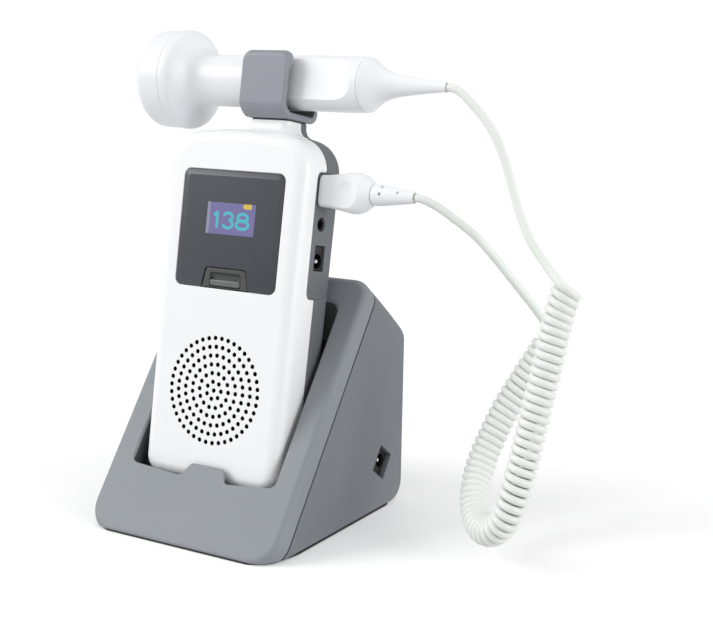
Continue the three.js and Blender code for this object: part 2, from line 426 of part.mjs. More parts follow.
const basePlan = (i) => rounded([[-35.5 + i, 3.6 + i, 3], [35.5 - i, 3.6 + i, 3], [41.7 - i, 18 + i, 14], [41.7 - i, 86.2 - i, 2.5], [-41.7 + i, 86.2 - i, 2.5], [-41.7 + i, 18 + i, 14]], 3);
const feetAt = [[-33.5, 13], [33.5, 13], [-33.5, 78.5], [33.5, 78.5]];
const registerPlan = rounded([[-35, 16.5, 2], [35, 16.5, 2], [35, 84, 2], [-35, 84, 2]], 2);
const screwAt = bosses;
let base = join(solid(prism(basePlan(0), 0.5, 1.7)), solid(prism(registerPlan, 1.6, 3.4)),
  ...screwAt.map(([x, y]) => solid(rodZ(x, y, 1.6, 4.3, 2.9, 12))),
  ...[[-20, 40], [20, 40], [-20, 70], [20, 70]].map(([x, y]) => solid(rodZ(x, y, 3.3, 3.9, 2.5, 8))));
base = cut(base,
  ...feetAt.map(([x, y]) => solid(rodZ(x, y, 0, 1.1, 5.3, 12))),
  ...screwAt.map(([x, y]) => solid(rodZ(x, y, 0, 6, 1.6, 8))),
  ...screwAt.map(([x, y]) => solid(rodZ(x, y, 0, 2.0, 2.9, 12))));
piece(dock, 'dock_base_plate', base, BLACK);
feetAt.forEach(([x, y], i) => piece(dock, `dock_foot_${i + 1}`, solid(rodZ(x, y, 0, 0.8, 4.95, 12)), RUBBER));
screwAt.forEach(([x, y], i) => piece(dock, `dock_screw_${i + 1}`,
  join(solid(rodZ(x, y, 0.7, 1.7, 2.6, 12)), solid(rodZ(x, y, 1.5, 13, 1.3, 8))), STEEL));

// charging: board, contact block and two sprung pins under the pocket floor
piece(dock, 'dock_pcb', solid(prism(rect(-25, 34, 25, 76, 2, 2), 4.2, 5.6)), BOARD);
piece(dock, 'charge_contact_block', cut(
  solid(inUnit(box(-13, 13, 15, 23, 1.4, 8.1))),
  ...[-PIN_X, PIN_X].map((x) => solid(inUnit(rodZ(x, PIN_DEP, 2.6, 9, 1.45, 10))))), BLACK);
for (const [name, x] of [['charge_pin_left', -PIN_X], ['charge_pin_right', PIN_X]]) {
  piece(dock, name, solid(inUnit(rodZ(x, PIN_DEP, 4.2, 10.75, 1.15, 10))), GOLD);
}
const dockJack = cut(solid(jackFrame(-DOCK_JACK.along + GAP, DOCK_JACK.along - GAP, -DOCK_JACK.across + GAP, DOCK_JACK.across - GAP, 30, 41.6)),
  solid(rodX(33, 43, DOCK_JACK.y, DOCK_JACK.z, 3.0, 16)));
piece(dock, 'dock_dc_jack', join(dockJack, solid(rodX(32, 40.6, DOCK_JACK.y, DOCK_JACK.z, 1.0, 8))), BLACK);

// ---------------------------------------------------------------- lead
// tube along a smooth curve through the points, section of n sides
function tube(points, d, n, steps) {
  const path = new THREE.CatmullRomCurve3(points.map((p) => V3(...p)), false, 'centripetal');
  const section = [];
  for (let k = 0; k < n; k++) section.push(V2(d / 2 * Math.cos(2 * Math.PI * (k + 0.5) / n), d / 2 * Math.sin(2 * Math.PI * (k + 0.5) / n)));
  return new THREE.ExtrudeGeometry(new THREE.Shape(section), { steps, extrudePath: path, bevelEnabled: false });
}
const PROBE_LEAD = [[77.85, 57.98, 167.16], [79.90, 57.95, 166.90], [82.62, 58.16, 165.59], [85.82, 58.19, 162.97], [91.48, 58.22, 157.45],
  [96.54, 58.00, 150.93], [100.74, 57.54, 142.54], [104.90, 56.62, 131.87], [108.70, 55.70, 123.08], [113.06, 54.77, 115.61],
  [117.59, 54.11, 110.35], [121.24, 53.02, 106.64], [123.24, 52.56, 104.70]];
const COIL = [[126.44, 55.96, 101.64], [124.92, 54.63, 94.95], [123.76, 53.31, 88.19], [123.04, 52.08, 81.34], [122.25, 50.82, 74.51],
  [121.35, 49.50, 67.70], [120.38, 48.15, 60.90], [119.47, 46.86, 54.09], [118.56, 45.63, 47.27], [117.58, 44.42, 40.45],
  [116.33, 43.35, 33.66], [114.76, 42.54, 26.89], [112.65, 42.26, 20.24], [108.45, 43.45, 14.94], [102.86, 46.98, 13.08],
  [97.97, 51.79, 14.22], [94.26, 56.79, 17.36], [91.96, 61.49, 21.97], [91.21, 65.63, 27.52], [91.75, 69.01, 33.61],
  [93.24, 71.89, 39.80], [95.00, 74.48, 46.06], [97.29, 76.97, 52.17], [100.00, 79.43, 58.13], [102.75, 81.84, 64.09],
  [105.69, 84.18, 69.99], [108.46, 86.34, 76.03]];
const PLUG_LEAD = [[68.45, 53.71, 128.24], [70.70, 53.95, 128.00], [75.29, 56.51, 125.56], [80.94, 59.68, 121.12], [87.00, 63.63, 115.51],
  [92.91, 68.10, 107.80], [98.22, 72.63, 99.54], [102.70, 76.97, 92.24], [106.08, 80.33, 86.44], [107.63, 81.84, 83.25],
  [108.69, 83.14, 79.31]];
piece(object, 'cord_probe_lead', solid(tube(PROBE_LEAD, CORD_D, 8, 26)), CORD);
piece(object, 'cord_coil', solid(tube(COIL, COIL_OD, 8, 60)), CORD);
piece(object, 'cord_plug_lead', solid(tube(PLUG_LEAD, CORD_D, 8, 22)), CORD);

export default object;
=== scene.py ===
"""Looks of a pocket fetal doppler standing in its charging dock, with the probe in the clip on top."""
import math

import bmesh
import bpy
import numpy as np
from mathutils import Matrix, Vector, geometry


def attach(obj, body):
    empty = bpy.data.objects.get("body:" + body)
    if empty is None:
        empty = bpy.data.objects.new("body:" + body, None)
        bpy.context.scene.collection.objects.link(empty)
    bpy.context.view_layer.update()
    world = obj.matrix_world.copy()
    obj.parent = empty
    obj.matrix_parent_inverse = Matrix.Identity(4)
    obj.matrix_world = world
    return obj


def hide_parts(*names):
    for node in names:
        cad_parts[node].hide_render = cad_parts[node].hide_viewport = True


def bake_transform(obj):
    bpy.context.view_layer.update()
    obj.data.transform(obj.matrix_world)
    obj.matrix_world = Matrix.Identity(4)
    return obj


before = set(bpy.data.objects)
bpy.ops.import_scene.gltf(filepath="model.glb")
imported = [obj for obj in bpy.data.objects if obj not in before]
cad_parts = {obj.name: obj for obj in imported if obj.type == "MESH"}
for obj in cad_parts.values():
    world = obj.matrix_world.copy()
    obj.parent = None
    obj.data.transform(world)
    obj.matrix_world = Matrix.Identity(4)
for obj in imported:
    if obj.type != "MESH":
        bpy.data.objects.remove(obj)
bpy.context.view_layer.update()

# ------------------------------------------------------------------ frames
# Lengths below are millimetres in the frame named, and become metres in the row frame.
MM = 0.001
SHIFT = np.array([-13.8, -48.671, 0.0])
LEAN = math.radians(-9.484)
SLOPE = math.radians(54.04)


def turned(angle, origin=(0, 0, 0)):
    c, s = math.cos(angle), math.sin(angle)
    m = np.eye(4)
    m[:3, :3] = [[1, 0, 0], [0, c, -s], [0, s, c]]
    m[:3, 3] = np.array(origin, float) + SHIFT
    return m


UNIT = turned(LEAN, (0, 17.909, 8))      # x across, y behind the front face, z up the unit
FACE = turned(SLOPE)                     # x across, y up the dock's slope, z out of it
DOCK = turned(0)                         # dock frame, z up
JACK = turned(SLOPE, (0, 79.0, 19.5))    # dock jack: y along the slope, z square to it


def to_row(points, m):
    p = np.asarray(points, float).reshape(-1, 3)
    return (p @ m[:3, :3].T + m[:3, 3]) * MM


def direction(v, m=UNIT):
    return m[:3, :3] @ np.array(v, float)


def in_frame(point, m):
    """a point of the row frame, in metres, as millimetres in frame m"""
    return (np.linalg.inv(m) @ np.array([*(np.array(point) / MM), 1.0]))[:3]


# ------------------------------------------------------------------ camera
scene = bpy.context.scene
cam_data = bpy.data.cameras.new("camera")
cam = bpy.data.objects.new("camera", cam_data)
scene.collection.objects.link(cam)
cam_data.sensor_width = 36.0
cam_data.sensor_fit = "HORIZONTAL"
cam_data.lens = 67.63
cam_data.clip_start = 0.01
cam_data.clip_end = 20
R, U, B = (0.86093, 0.50844, 0.016487), (-0.11250, 0.15868, 0.98089), (0.49611, -0.84635, 0.19381)
C = (np.array([291.29, -366.71, 177.62]) + SHIFT) * MM
cam.matrix_world = Matrix([[R[i], U[i], B[i], C[i]] for i in range(3)] + [[0, 0, 0, 1]])
scene.camera = cam
scene.view_settings.view_transform = "Standard"


# ------------------------------------------------------------------ materials
def nodes_of(mat):
    mat.use_nodes = True
    return mat.node_tree.nodes, mat.node_tree.links


def rgb(r, g, b):
    """sRGB 0..255 to linear"""
    f = lambda c: c / 12.92 if c <= 0.04045 else ((c + 0.055) / 1.055) ** 2.4
    return (f(r / 255), f(g / 255), f(b / 255), 1)


def plastic(name, color, rough=0.4, vary=0.04, tone=0.05, grain=0.35, bump=0.02, orange=0.0,
            coat=0.0, coat_rough=0.1, metallic=0.0, spec=0.5, sss=0.0, sss_radius=0.001):
    """Moulded surface: slow tone drift, fine grain in colour and roughness, grain and slight waviness in the bump.
    grain is the size of the grain in millimetres."""
    mat = bpy.data.materials.new(name)
    n, l = nodes_of(mat)
    p = n["Principled BSDF"]
    co = n.new("ShaderNodeTexCoord")
    slow = n.new("ShaderNodeTexNoise")
    slow.inputs["Scale"].default_value = 45
    slow.inputs["Detail"].default_value = 3
    fine = n.new("ShaderNodeTexNoise")
    fine.inputs["Scale"].default_value = 1000 / grain
    fine.inputs["Detail"].default_value = 4
    fine.inputs["Roughness"].default_value = 0.65
    l.new(co.outputs["Object"], slow.inputs["Vector"])
    l.new(co.outputs["Object"], fine.inputs["Vector"])
    both = n.new("ShaderNodeMath")
    both.operation = "MULTIPLY_ADD"
    both.inputs[1].default_value = 0.35
    l.new(fine.outputs["Fac"], both.inputs[0])
    scaled = n.new("ShaderNodeMath")
    scaled.operation = "MULTIPLY"
    scaled.inputs[1].default_value = 0.65
    l.new(slow.outputs["Fac"], scaled.inputs[0])
    l.new(scaled.outputs[0], both.inputs[2])
    ramp = n.new("ShaderNodeValToRGB")
    c = np.array(color[:3])
    ramp.color_ramp.elements[0].position = 0.3
    ramp.color_ramp.elements[1].position = 0.7
    ramp.color_ramp.elements[0].color = (*(c * (1 - tone)), 1)
    ramp.color_ramp.elements[1].color = (*np.minimum(c * (1 + tone * 0.6), 0.98), 1)
    l.new(both.outputs[0], ramp.inputs["Fac"])
    l.new(ramp.outputs["Color"], p.inputs["Base Color"])
    rr = n.new("ShaderNodeMapRange")
    rr.inputs["To Min"].default_value = max(0.02, rough - vary)
    rr.inputs["To Max"].default_value = min(1, rough + vary)
    rr.inputs["From Min"].default_value = 0.3
    rr.inputs["From Max"].default_value = 0.7
    l.new(both.outputs[0], rr.inputs["Value"])
    l.new(rr.outputs["Result"], p.inputs["Roughness"])
    b1 = n.new("ShaderNodeBump")
    b1.inputs["Strength"].default_value = bump
    b1.inputs["Distance"].default_value = 0.0002
    l.new(fine.outputs["Fac"], b1.inputs["Height"])
    last = b1
    if orange:
        wave = n.new("ShaderNodeTexNoise")
        wave.inputs["Scale"].default_value = 160
        wave.inputs["Detail"].default_value = 1
        l.new(co.outputs["Object"], wave.inputs["Vector"])
        b2 = n.new("ShaderNodeBump")
        b2.inputs["Strength"].default_value = orange
        b2.inputs["Distance"].default_value = 0.0005
        l.new(wave.outputs["Fac"], b2.inputs["Height"])
        l.new(b1.outputs["Normal"], b2.inputs["Normal"])
        last = b2
    l.new(last.outputs["Normal"], p.inputs["Normal"])
    p.inputs["Metallic"].default_value = metallic
    p.inputs["Specular IOR Level"].default_value = spec
    p.inputs["Coat Weight"].default_value = coat
    p.inputs["Coat Roughness"].default_value = coat_rough
    if sss:
        p.inputs["Subsurface Weight"].default_value = sss
        p.inputs["Subsurface Radius"].default_value = (sss_radius, sss_radius, sss_radius)
        p.inputs["Subsurface Scale"].default_value = 1.0
    return mat


def glowing(name, color, strength, tone=0.06):
    mat = bpy.data.materials.new(name)
    n, l = nodes_of(mat)
    p = n["Principled BSDF"]
    co = n.new("ShaderNodeTexCoord")
    tex = n.new("ShaderNodeTexNoise")
    tex.inputs["Scale"].default_value = 60
    l.new(co.outputs["Object"], tex.inputs["Vector"])
    ramp = n.new("ShaderNodeValToRGB")
    c = np.array(color[:3])
    ramp.color_ramp.elements[0].color = (*(c * (1 - tone)), 1)
    ramp.color_ramp.elements[1].color = (*np.minimum(c * (1 + tone), 1), 1)
    l.new(tex.outputs["Fac"], ramp.inputs["Fac"])
    l.new(ramp.outputs["Color"], p.inputs["Emission Color"])
    p.inputs["Emission Strength"].default_value = strength
    p.inputs["Base Color"].default_value = (0.02, 0.02, 0.02, 1)
    p.inputs["Roughness"].default_value = 0.3
    return mat


WHITE = plastic("white_shell", (0.885, 0.89, 0.90), rough=0.34, tone=0.012, grain=0.3, bump=0.012, coat=0.15, coat_rough=0.25)
PROBE = plastic("probe_white", (0.85, 0.868, 0.895), rough=0.36, tone=0.012, grain=0.3, bump=0.012, coat=0.1, coat_rough=0.3)
BOOT = plastic("boot_white", (0.85, 0.872, 0.90), rough=0.42, tone=0.015, grain=0.35, bump=0.02)
CORDMAT = plastic("cord_jacket", (0.785, 0.815, 0.775), rough=0.38, tone=0.03, grain=0.5, bump=0.03, orange=0.02)
DARKGREY = plastic("rear_grey", (0.125, 0.137, 0.149), rough=0.5, tone=0.05, grain=0.35, bump=0.06)
CLIPMAT = plastic("clip_grey", (0.255, 0.27, 0.305), rough=0.42, tone=0.03, grain=0.3, bump=0.04)
DOCKF = plastic("dock_front", (0.237, 0.257, 0.281), rough=0.55, tone=0.03, grain=0.35, bump=0.08)
DOCKS = plastic("dock_side", (0.162, 0.178, 0.198), rough=0.55, tone=0.03, grain=0.35, bump=0.08)
WINDOW = plastic("window_panel", (0.062, 0.069, 0.080), rough=0.16, tone=0.03, vary=0.02, grain=1.2, bump=0.004, spec=0.5)
# painted reflection: the window's base colour is scaled from 0.70 to 1.16 along a slant in object space, lighter
# towards the top and the left, standing in for the sky reflected in the window
n, l = WINDOW.node_tree.nodes, WINDOW.node_tree.links
old = n["Principled BSDF"].inputs["Base Color"].links[0].from_socket
along = n.new("ShaderNodeVectorMath")
along.operation = "DOT_PRODUCT"
along.inputs[1].default_value = (-11.0, 0.0, 11.5)
across = n.new("ShaderNodeTexCoord")
l.new(across.outputs["Object"], along.inputs[0])
painted_reflection_ramp = n.new("ShaderNodeMapRange")
painted_reflection_ramp.inputs["From Min"].default_value = 0.948
painted_reflection_ramp.inputs["From Max"].default_value = 1.954
painted_reflection_ramp.inputs["To Min"].default_value = 0.70
painted_reflection_ramp.inputs["To Max"].default_value = 1.16
l.new(along.outputs["Value"], painted_reflection_ramp.inputs["Value"])
painted_reflection_scale = n.new("ShaderNodeVectorMath")
painted_reflection_scale.operation = "SCALE"
l.new(old, painted_reflection_scale.inputs[0])
l.new(painted_reflection_ramp.outputs["Result"], painted_reflection_scale.inputs["Scale"])
l.new(painted_reflection_scale.outputs["Vector"], n["Principled BSDF"].inputs["Base Color"])
KEYMAT = plastic("key_grey", (0.055, 0.058, 0.056), rough=0.3, tone=0.05, grain=0.3, bump=0.03)
# painted light: a lighter copy of the key's grey, standing in for light falling on the groove's lower wall
KEY_BAR_LIT = plastic("key_bar", (0.125, 0.132, 0.128), rough=0.3, tone=0.05, grain=0.3, bump=0.03)
BLACK = plastic("black_plastic", (0.010, 0.010, 0.011), rough=0.4, tone=0.1, grain=0.3, bump=0.05)
JACKMAT = plastic("jack_black", (0.009, 0.0092, 0.009), rough=0.45, tone=0.1, grain=0.3, bump=0.04, spec=0.25)
RUBBER = plastic("foot_rubber", (0.02, 0.02, 0.021), rough=0.8, tone=0.15, grain=0.4, bump=0.15)
STEEL = plastic("steel", (0.62, 0.63, 0.65), rough=0.28, tone=0.04, grain=0.2, bump=0.02, metallic=1.0)
GOLD = plastic("contact_gold", (0.83, 0.60, 0.26), rough=0.25, tone=0.04, grain=0.2, bump=0.02, metallic=1.0)
BOARD = plastic("solder_mask", (0.02, 0.15, 0.06), rough=0.35, tone=0.12, grain=0.8, bump=0.05)
CELL = plastic("battery_wrap", (0.05, 0.16, 0.36), rough=0.3, tone=0.06, grain=0.6, bump=0.02)
CONE = plastic("cone_paper", (0.02, 0.021, 0.023), rough=0.85, tone=0.2, grain=0.3, bump=0.3)
CERAMIC = plastic("ceramic_disc", (0.58, 0.48, 0.30), rough=0.5, tone=0.08, grain=0.3, bump=0.05)
SCREEN = glowing("screen_ground", (0.172, 0.150, 0.385), 0.78, tone=0.05)
STRIP = glowing("screen_strip", (0.30, 0.30, 0.44), 0.78, tone=0.04)
DIGIT = glowing("screen_digit", (0.045, 0.52, 0.62), 0.82, tone=0.05)
BATT = glowing("screen_battery", (0.78, 0.53, 0.045), 0.82, tone=0.08)
# painted shade: a near-black grey for faces deep in the dock's pocket and inside the clip, standing in for the shade
# that falls there
POCKET_SHADE = plastic("dock_pocket_painted_shade", (0.055, 0.060, 0.065), rough=0.6, tone=0.05, grain=0.35, bump=0.08)
RING = plastic("ring_grey", (0.55, 0.54, 0.51), rough=0.6, tone=0.06, grain=0.3, bump=0.05)
FLOOR = plastic("floor_pale", (0.83, 0.83, 0.83), rough=0.8, tone=0.004, grain=3, bump=0.0, spec=0.2)
FLOOR.node_tree.nodes["Principled BSDF"].inputs["Emission Color"].default_value = (1, 1, 1, 1)
FLOOR.node_tree.nodes["Principled BSDF"].inputs["Emission Strength"].default_value = 0.22


# ------------------------------------------------------------------ mesh tools
def outline(points, n=10):
    """Closed outline through [(x, y, radius), ...], counter-clockwise, with n steps on each rounded corner.
    Returns points and their outward normals, so that the outline can be offset."""
    out, nor = [], []
    pts = [tuple(p) + (0,) * (3 - len(p)) for p in points]
    N = len(pts)
    for i in range(N):
        p = np.array(pts[i][:2], float)
        a, b = np.array(pts[i - 1][:2], float), np.array(pts[(i + 1) % N][:2], float)
        u, v = (a - p) / np.linalg.norm(a - p), (b - p) / np.linalg.norm(b - p)
        n0, n1 = np.array([-u[1], u[0]]), np.array([v[1], -v[0]])      # outward normals of the two sides
        r = pts[i][2]
        turn = u[0] * -v[1] - u[1] * -v[0]
        convex = (-u[0]) * v[1] - (-u[1]) * v[0] > 0
        half = math.acos(max(-1, min(1, float(u @ v)))) / 2
        if r <= 0:
            m = n0 + n1
            m = m / max(1e-9, (m @ m)) * 2
            out.append(p)
            nor.append(m)
            continue
        c = p + (u + v) / np.linalg.norm(u + v) * r / math.sin(half)
        sign = 1 if convex else -1
        a0 = math.atan2(*(sign * n0)[::-1])
        sweep = math.pi - 2 * half
        for k in range(n + 1):
            t = a0 + sign * sweep * k / n
            d = np.array([math.cos(t), math.sin(t)])
            out.append(c + r * d)
            nor.append(sign * d)
    return np.array(out), np.array(nor)


def rrect(x0, y0, x1, y1, r=0, n=10):
    return outline([(x0, y0, r), (x1, y0, r), (x1, y1, r), (x0, y1, r)], n)


def circle(cx, cy, r, n=24):
    t = np.linspace(0, 2 * math.pi, n, endpoint=False)
    d = np.stack([np.cos(t), np.sin(t)], 1)
    return np.array([cx, cy]) + r * d, d


def loft_mesh(rings, caps=(True, True), closed=True):
    """Quads between rings of equal length, with n-gon ends."""
    n = len(rings[0])
    verts = np.concatenate(rings)
    faces = []
    for j in range(len(rings) - 1):
        for i in range(n if closed else n - 1):
            k = (i + 1) % n
            faces.append((j * n + i, j * n + k, (j + 1) * n + k, (j + 1) * n + i))
    if caps[0]:
        faces.append(tuple(range(n))[::-1])
    if caps[1]:
        m = (len(rings) - 1) * n
        faces.append(tuple(range(m, m + n)))
    return verts, faces


def levels(z0, z1, r0=0.0, r1=0.0, n=6):
    """Heights and insets of a slab from z0 to z1 whose lower and upper rims are rounded by r0 and r1.
    A negative radius flares the rim outwards instead, as a cutter that rounds the edge it leaves."""
    turn = [math.pi / 2 * k / n for k in range(n + 1)]
    out = [(z0 - 1.5, r0)] if r0 < 0 else []
    out += [(z0 + abs(r0) * (1 - math.cos(t)), r0 * (1 - math.sin(t))) for t in turn] if r0 else [(z0, 0.0)]
    out += [(z1 - abs(r1) + abs(r1) * math.sin(t), r1 * (1 - math.cos(t))) for t in turn] if r1 else [(z1, 0.0)]
    return out + ([(z1 + 1.5, r1)] if r1 < 0 else [])


AX = {"z": lambda a, b, h: (a, b, h), "y": lambda a, b, h: (a, h, b), "x": lambda a, b, h: (h, a, b)}


def slab(out, z0, z1, r0=0.0, r1=0.0, n=6, axis="z"):
    """Slab of an outline (points, normals) along an axis. For axis y the outline is (x, z), for x it is (y, z)."""
    pts, nor = out
    rings = []
    for h, inset in levels(z0, z1, r0, r1, n):
        q = pts - nor * inset
        rings.append(np.array([AX[axis](a, b, h) for a, b in q]))
    return loft_mesh(rings)


def lathe(profile, n=64, axis="x", origin=(0, 0, 0)):
    """Profile [(axial, radius), ...] turned about an axis; ends on the axis are closed by a point."""
    prof = [(a, r) for a, r in profile]
    verts, faces = [], []
    rings = []
    for a, r in prof:
        if r < 1e-6:
            rings.append([len(verts)])
            verts.append((a, 0, 0))
        else:
            base = len(verts)
            for k in range(n):
                t = 2 * math.pi * k / n
                verts.append((a, r * math.cos(t), r * math.sin(t)))
            rings.append(list(range(base, base + n)))
    for a, b in zip(rings, rings[1:]):
        for k in range(n):
            k2 = (k + 1) % n
            if len(a) == 1 and len(b) == 1:
                continue
            if len(a) == 1:
                faces.append((a[0], b[k2], b[k]))
            elif len(b) == 1:
                faces.append((a[k], a[k2], b[0]))
            else:
                faces.append((a[k], a[k2], b[k2], b[k]))
    v = np.array(verts, float)
    if axis == "y":
        v = v[:, [1, 0, 2]]
    elif axis == "z":
        v = v[:, [1, 2, 0]]
    return v + np.array(origin, float), faces


def ring_lathe(profile, n=64, axis="x", origin=(0, 0, 0)):
    """Closed profile turned about an axis that it doesn't touch."""
    m = len(profile)
    verts, faces = [], []
    for k in range(n):
        t = 2 * math.pi * k / n
        for a, r in profile:
            verts.append((a, r * math.cos(t), r * math.sin(t)))
    for k in range(n):
        k2 = (k + 1) % n
        for i in range(m):
            j = (i + 1) % m
            faces.append((k * m + i, k2 * m + i, k2 * m + j, k * m + j))
    v = np.array(verts, float)
    if axis == "y":
        v = v[:, [1, 0, 2]]
    elif axis == "z":
        v = v[:, [1, 2, 0]]
    return v + np.array(origin, float), faces


def smooth_profile(points, step=0.5, closed=False):
    """Catmull-Rom through profile points, centripetal."""
    p = np.array(points, float)
    ext = np.vstack([2 * p[0] - p[1], p, 2 * p[-1] - p[-2]])
    out = []
    for i in range(1, len(ext) - 2):
        p0, p1, p2, p3 = ext[i - 1:i + 3]
        t0 = 0.0
        t1 = t0 + max(1e-6, np.linalg.norm(p1 - p0)) ** 0.5
        t2 = t1 + max(1e-6, np.linalg.norm(p2 - p1)) ** 0.5
        t3 = t2 + max(1e-6, np.linalg.norm(p3 - p2)) ** 0.5
        m = max(2, int(math.ceil(np.linalg.norm(p2 - p1) / step)))
        for k in range(m):
            t = t1 + (t2 - t1) * k / m
            a1 = (t1 - t) / (t1 - t0) * p0 + (t - t0) / (t1 - t0) * p1
            a2 = (t2 - t) / (t2 - t1) * p1 + (t - t1) / (t2 - t1) * p2
            a3 = (t3 - t) / (t3 - t2) * p2 + (t - t2) / (t3 - t2) * p3
            b1 = (t2 - t) / (t2 - t0) * a1 + (t - t0) / (t2 - t0) * a2
            b2 = (t3 - t) / (t3 - t1) * a2 + (t - t1) / (t3 - t1) * a3
            out.append((t2 - t) / (t2 - t1) * b1 + (t - t1) / (t2 - t1) * b2)
    out.append(p[-1])
    return np.array(out)


def raw(name, data, m=UNIT):
    """Mesh object from (vertices in mm, faces) in frame m, with faces turned outwards."""
    verts, faces = data
    me = bpy.data.meshes.new(name)
    me.from_pydata([tuple(v) for v in to_row(verts, m)], [], [tuple(int(i) for i in f) for f in faces])
    me.validate()
    ob = bpy.data.objects.new(name, me)
    scene.collection.objects.link(ob)
    bm = bmesh.new()
    bm.from_mesh(me)
    bmesh.ops.remove_doubles(bm, verts=bm.verts, dist=1e-7)
    bmesh.ops.recalc_face_normals(bm, faces=bm.faces)
    bm.to_mesh(me)
    bm.free()
    return ob


def merged(name, parts):
    """One object of several, which don't overlap."""
    bm = bmesh.new()
    for ob in parts:
        bm.from_mesh(ob.data)
    me = bpy.data.meshes.new(name)
    bm.to_mesh(me)
    bm.free()
    for ob in parts:
        bpy.data.objects.remove(ob)
    ob = bpy.data.objects.new(name, me)
    scene.collection.objects.link(ob)
    return ob


def boolean(ob, tool, op="DIFFERENCE", self_overlap=False, keep=False):
    mod = ob.modifiers.new("cut", "BOOLEAN")
    mod.operation = op
    mod.solver = "EXACT"
    mod.object = tool
    mod.use_self = self_overlap
    bpy.context.view_layer.update()
    dg = bpy.context.evaluated_depsgraph_get()
    me = bpy.data.meshes.new_from_object(ob.evaluated_get(dg))
    ob.modifiers.clear()
    old = ob.data
    ob.data = me
    bpy.data.meshes.remove(old)
    if not keep:
        bpy.data.objects.remove(tool)
    return ob


def tidy(ob, dist=2e-6):
    bm = bmesh.new()
    bm.from_mesh(ob.data)
    bmesh.ops.remove_doubles(bm, verts=bm.verts, dist=dist)
    bmesh.ops.dissolve_degenerate(bm, edges=bm.edges, dist=dist)
    loose = [v for v in bm.verts if not v.link_faces]
    bmesh.ops.delete(bm, geom=loose, context="VERTS")
    bm.to_mesh(ob.data)
    bm.free()
    return ob


def bevel(ob, test, width, segments=3, angle=25):
    """Rounds the edges whose two ends pass the test (points in metres, row frame) and whose faces meet at more than angle."""
    bm = bmesh.new()
    bm.from_mesh(ob.data)
    bm.normal_update()
    edges = []
    for e in bm.edges:
        if len(e.link_faces) != 2:
            continue
        if math.degrees(e.calc_face_angle(0)) < angle:
            continue
        if test(np.array(e.verts[0].co), np.array(e.verts[1].co)):
            edges.append(e)
    if edges:
        bmesh.ops.bevel(bm, geom=edges, offset=width * MM, offset_type="OFFSET", segments=segments, profile=0.5,
                        affect="EDGES", clamp_overlap=False, miter_outer="ARC", miter_inner="ARC")
    bm.to_mesh(ob.data)
    bm.free()
    return len(edges)


def finish(ob, mat, body, replaces=(), angle=32, weighted=True):
    me = ob.data
    for p in me.polygons:
        p.use_smooth = True
    me.set_sharp_from_angle(angle=math.radians(angle))
    me.materials.clear()
    for m in (mat if isinstance(mat, (list, tuple)) else [mat]):
        me.materials.append(m)
    if weighted:
        w = ob.modifiers.new("weighted", "WEIGHTED_NORMAL")
        w.keep_sharp = True
        w.weight = 60
        w.mode = "FACE_AREA_WITH_ANGLE"
    if body:
        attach(ob, body)
    if replaces:
        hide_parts(*replaces)
    return ob


# ------------------------------------------------------------------ lead
CORD_R = 1.5
PROBE_LEAD = [[77.85, 57.98, 167.16], [79.90, 57.95, 166.90], [82.62, 58.16, 165.59], [85.82, 58.19, 162.97], [91.48, 58.22, 157.45],
              [96.54, 58.00, 150.93], [100.74, 57.54, 142.54], [104.90, 56.62, 131.87], [108.70, 55.70, 123.08], [113.06, 54.77, 115.61],
              [117.59, 54.11, 110.35], [121.24, 53.02, 106.64]]
COIL = [[126.44, 55.96, 101.64], [124.92, 54.63, 94.95], [123.76, 53.31, 88.19], [123.04, 52.08, 81.34], [122.25, 50.82, 74.51],
        [121.35, 49.50, 67.70], [120.38, 48.15, 60.90], [119.47, 46.86, 54.09], [118.56, 45.63, 47.27], [117.58, 44.42, 40.45],
        [116.33, 43.35, 33.66], [114.76, 42.54, 26.89], [112.65, 42.26, 20.24], [108.45, 43.45, 14.94], [102.86, 46.98, 13.08],
        [97.97, 51.79, 14.22], [94.26, 56.79, 17.36], [91.96, 61.49, 21.97], [91.21, 65.63, 27.52], [91.75, 69.01, 33.61],
        [93.24, 71.89, 39.80], [95.00, 74.48, 46.06], [97.29, 76.97, 52.17], [100.00, 79.43, 58.13], [102.75, 81.84, 64.09],
        [105.69, 84.18, 69.99], [108.46, 86.34, 76.03]]
PLUG_LEAD = [[68.45, 53.71, 128.24], [70.70, 53.95, 128.00], [75.29, 56.51, 125.56], [80.94, 59.68, 121.12], [87.00, 63.63, 115.51],
             [92.91, 68.10, 107.80], [98.22, 72.63, 99.54], [102.70, 76.97, 92.24], [106.08, 80.33, 86.44],
             [107.63, 81.84, 83.25]]
PITCH = 3.06
HELIX_R = 4.15


def resample(line, step):
    d = np.concatenate([[0], np.cumsum(np.linalg.norm(np.diff(line, axis=0), axis=1))])
    at = np.linspace(0, d[-1], max(2, int(round(d[-1] / step)) + 1))
    return np.stack([np.interp(at, d, line[:, k]) for k in range(3)], 1)


def relax(line, times):
    for _ in range(times):
        line[1:-1] = (line[:-2] + 2 * line[1:-1] + line[2:]) / 4
    return line


def softened(values, times):
    v = values.copy()
    for _ in range(times):
        v[1:-1] = (v[:-2] + 2 * v[1:-1] + v[2:]) / 4
    return v


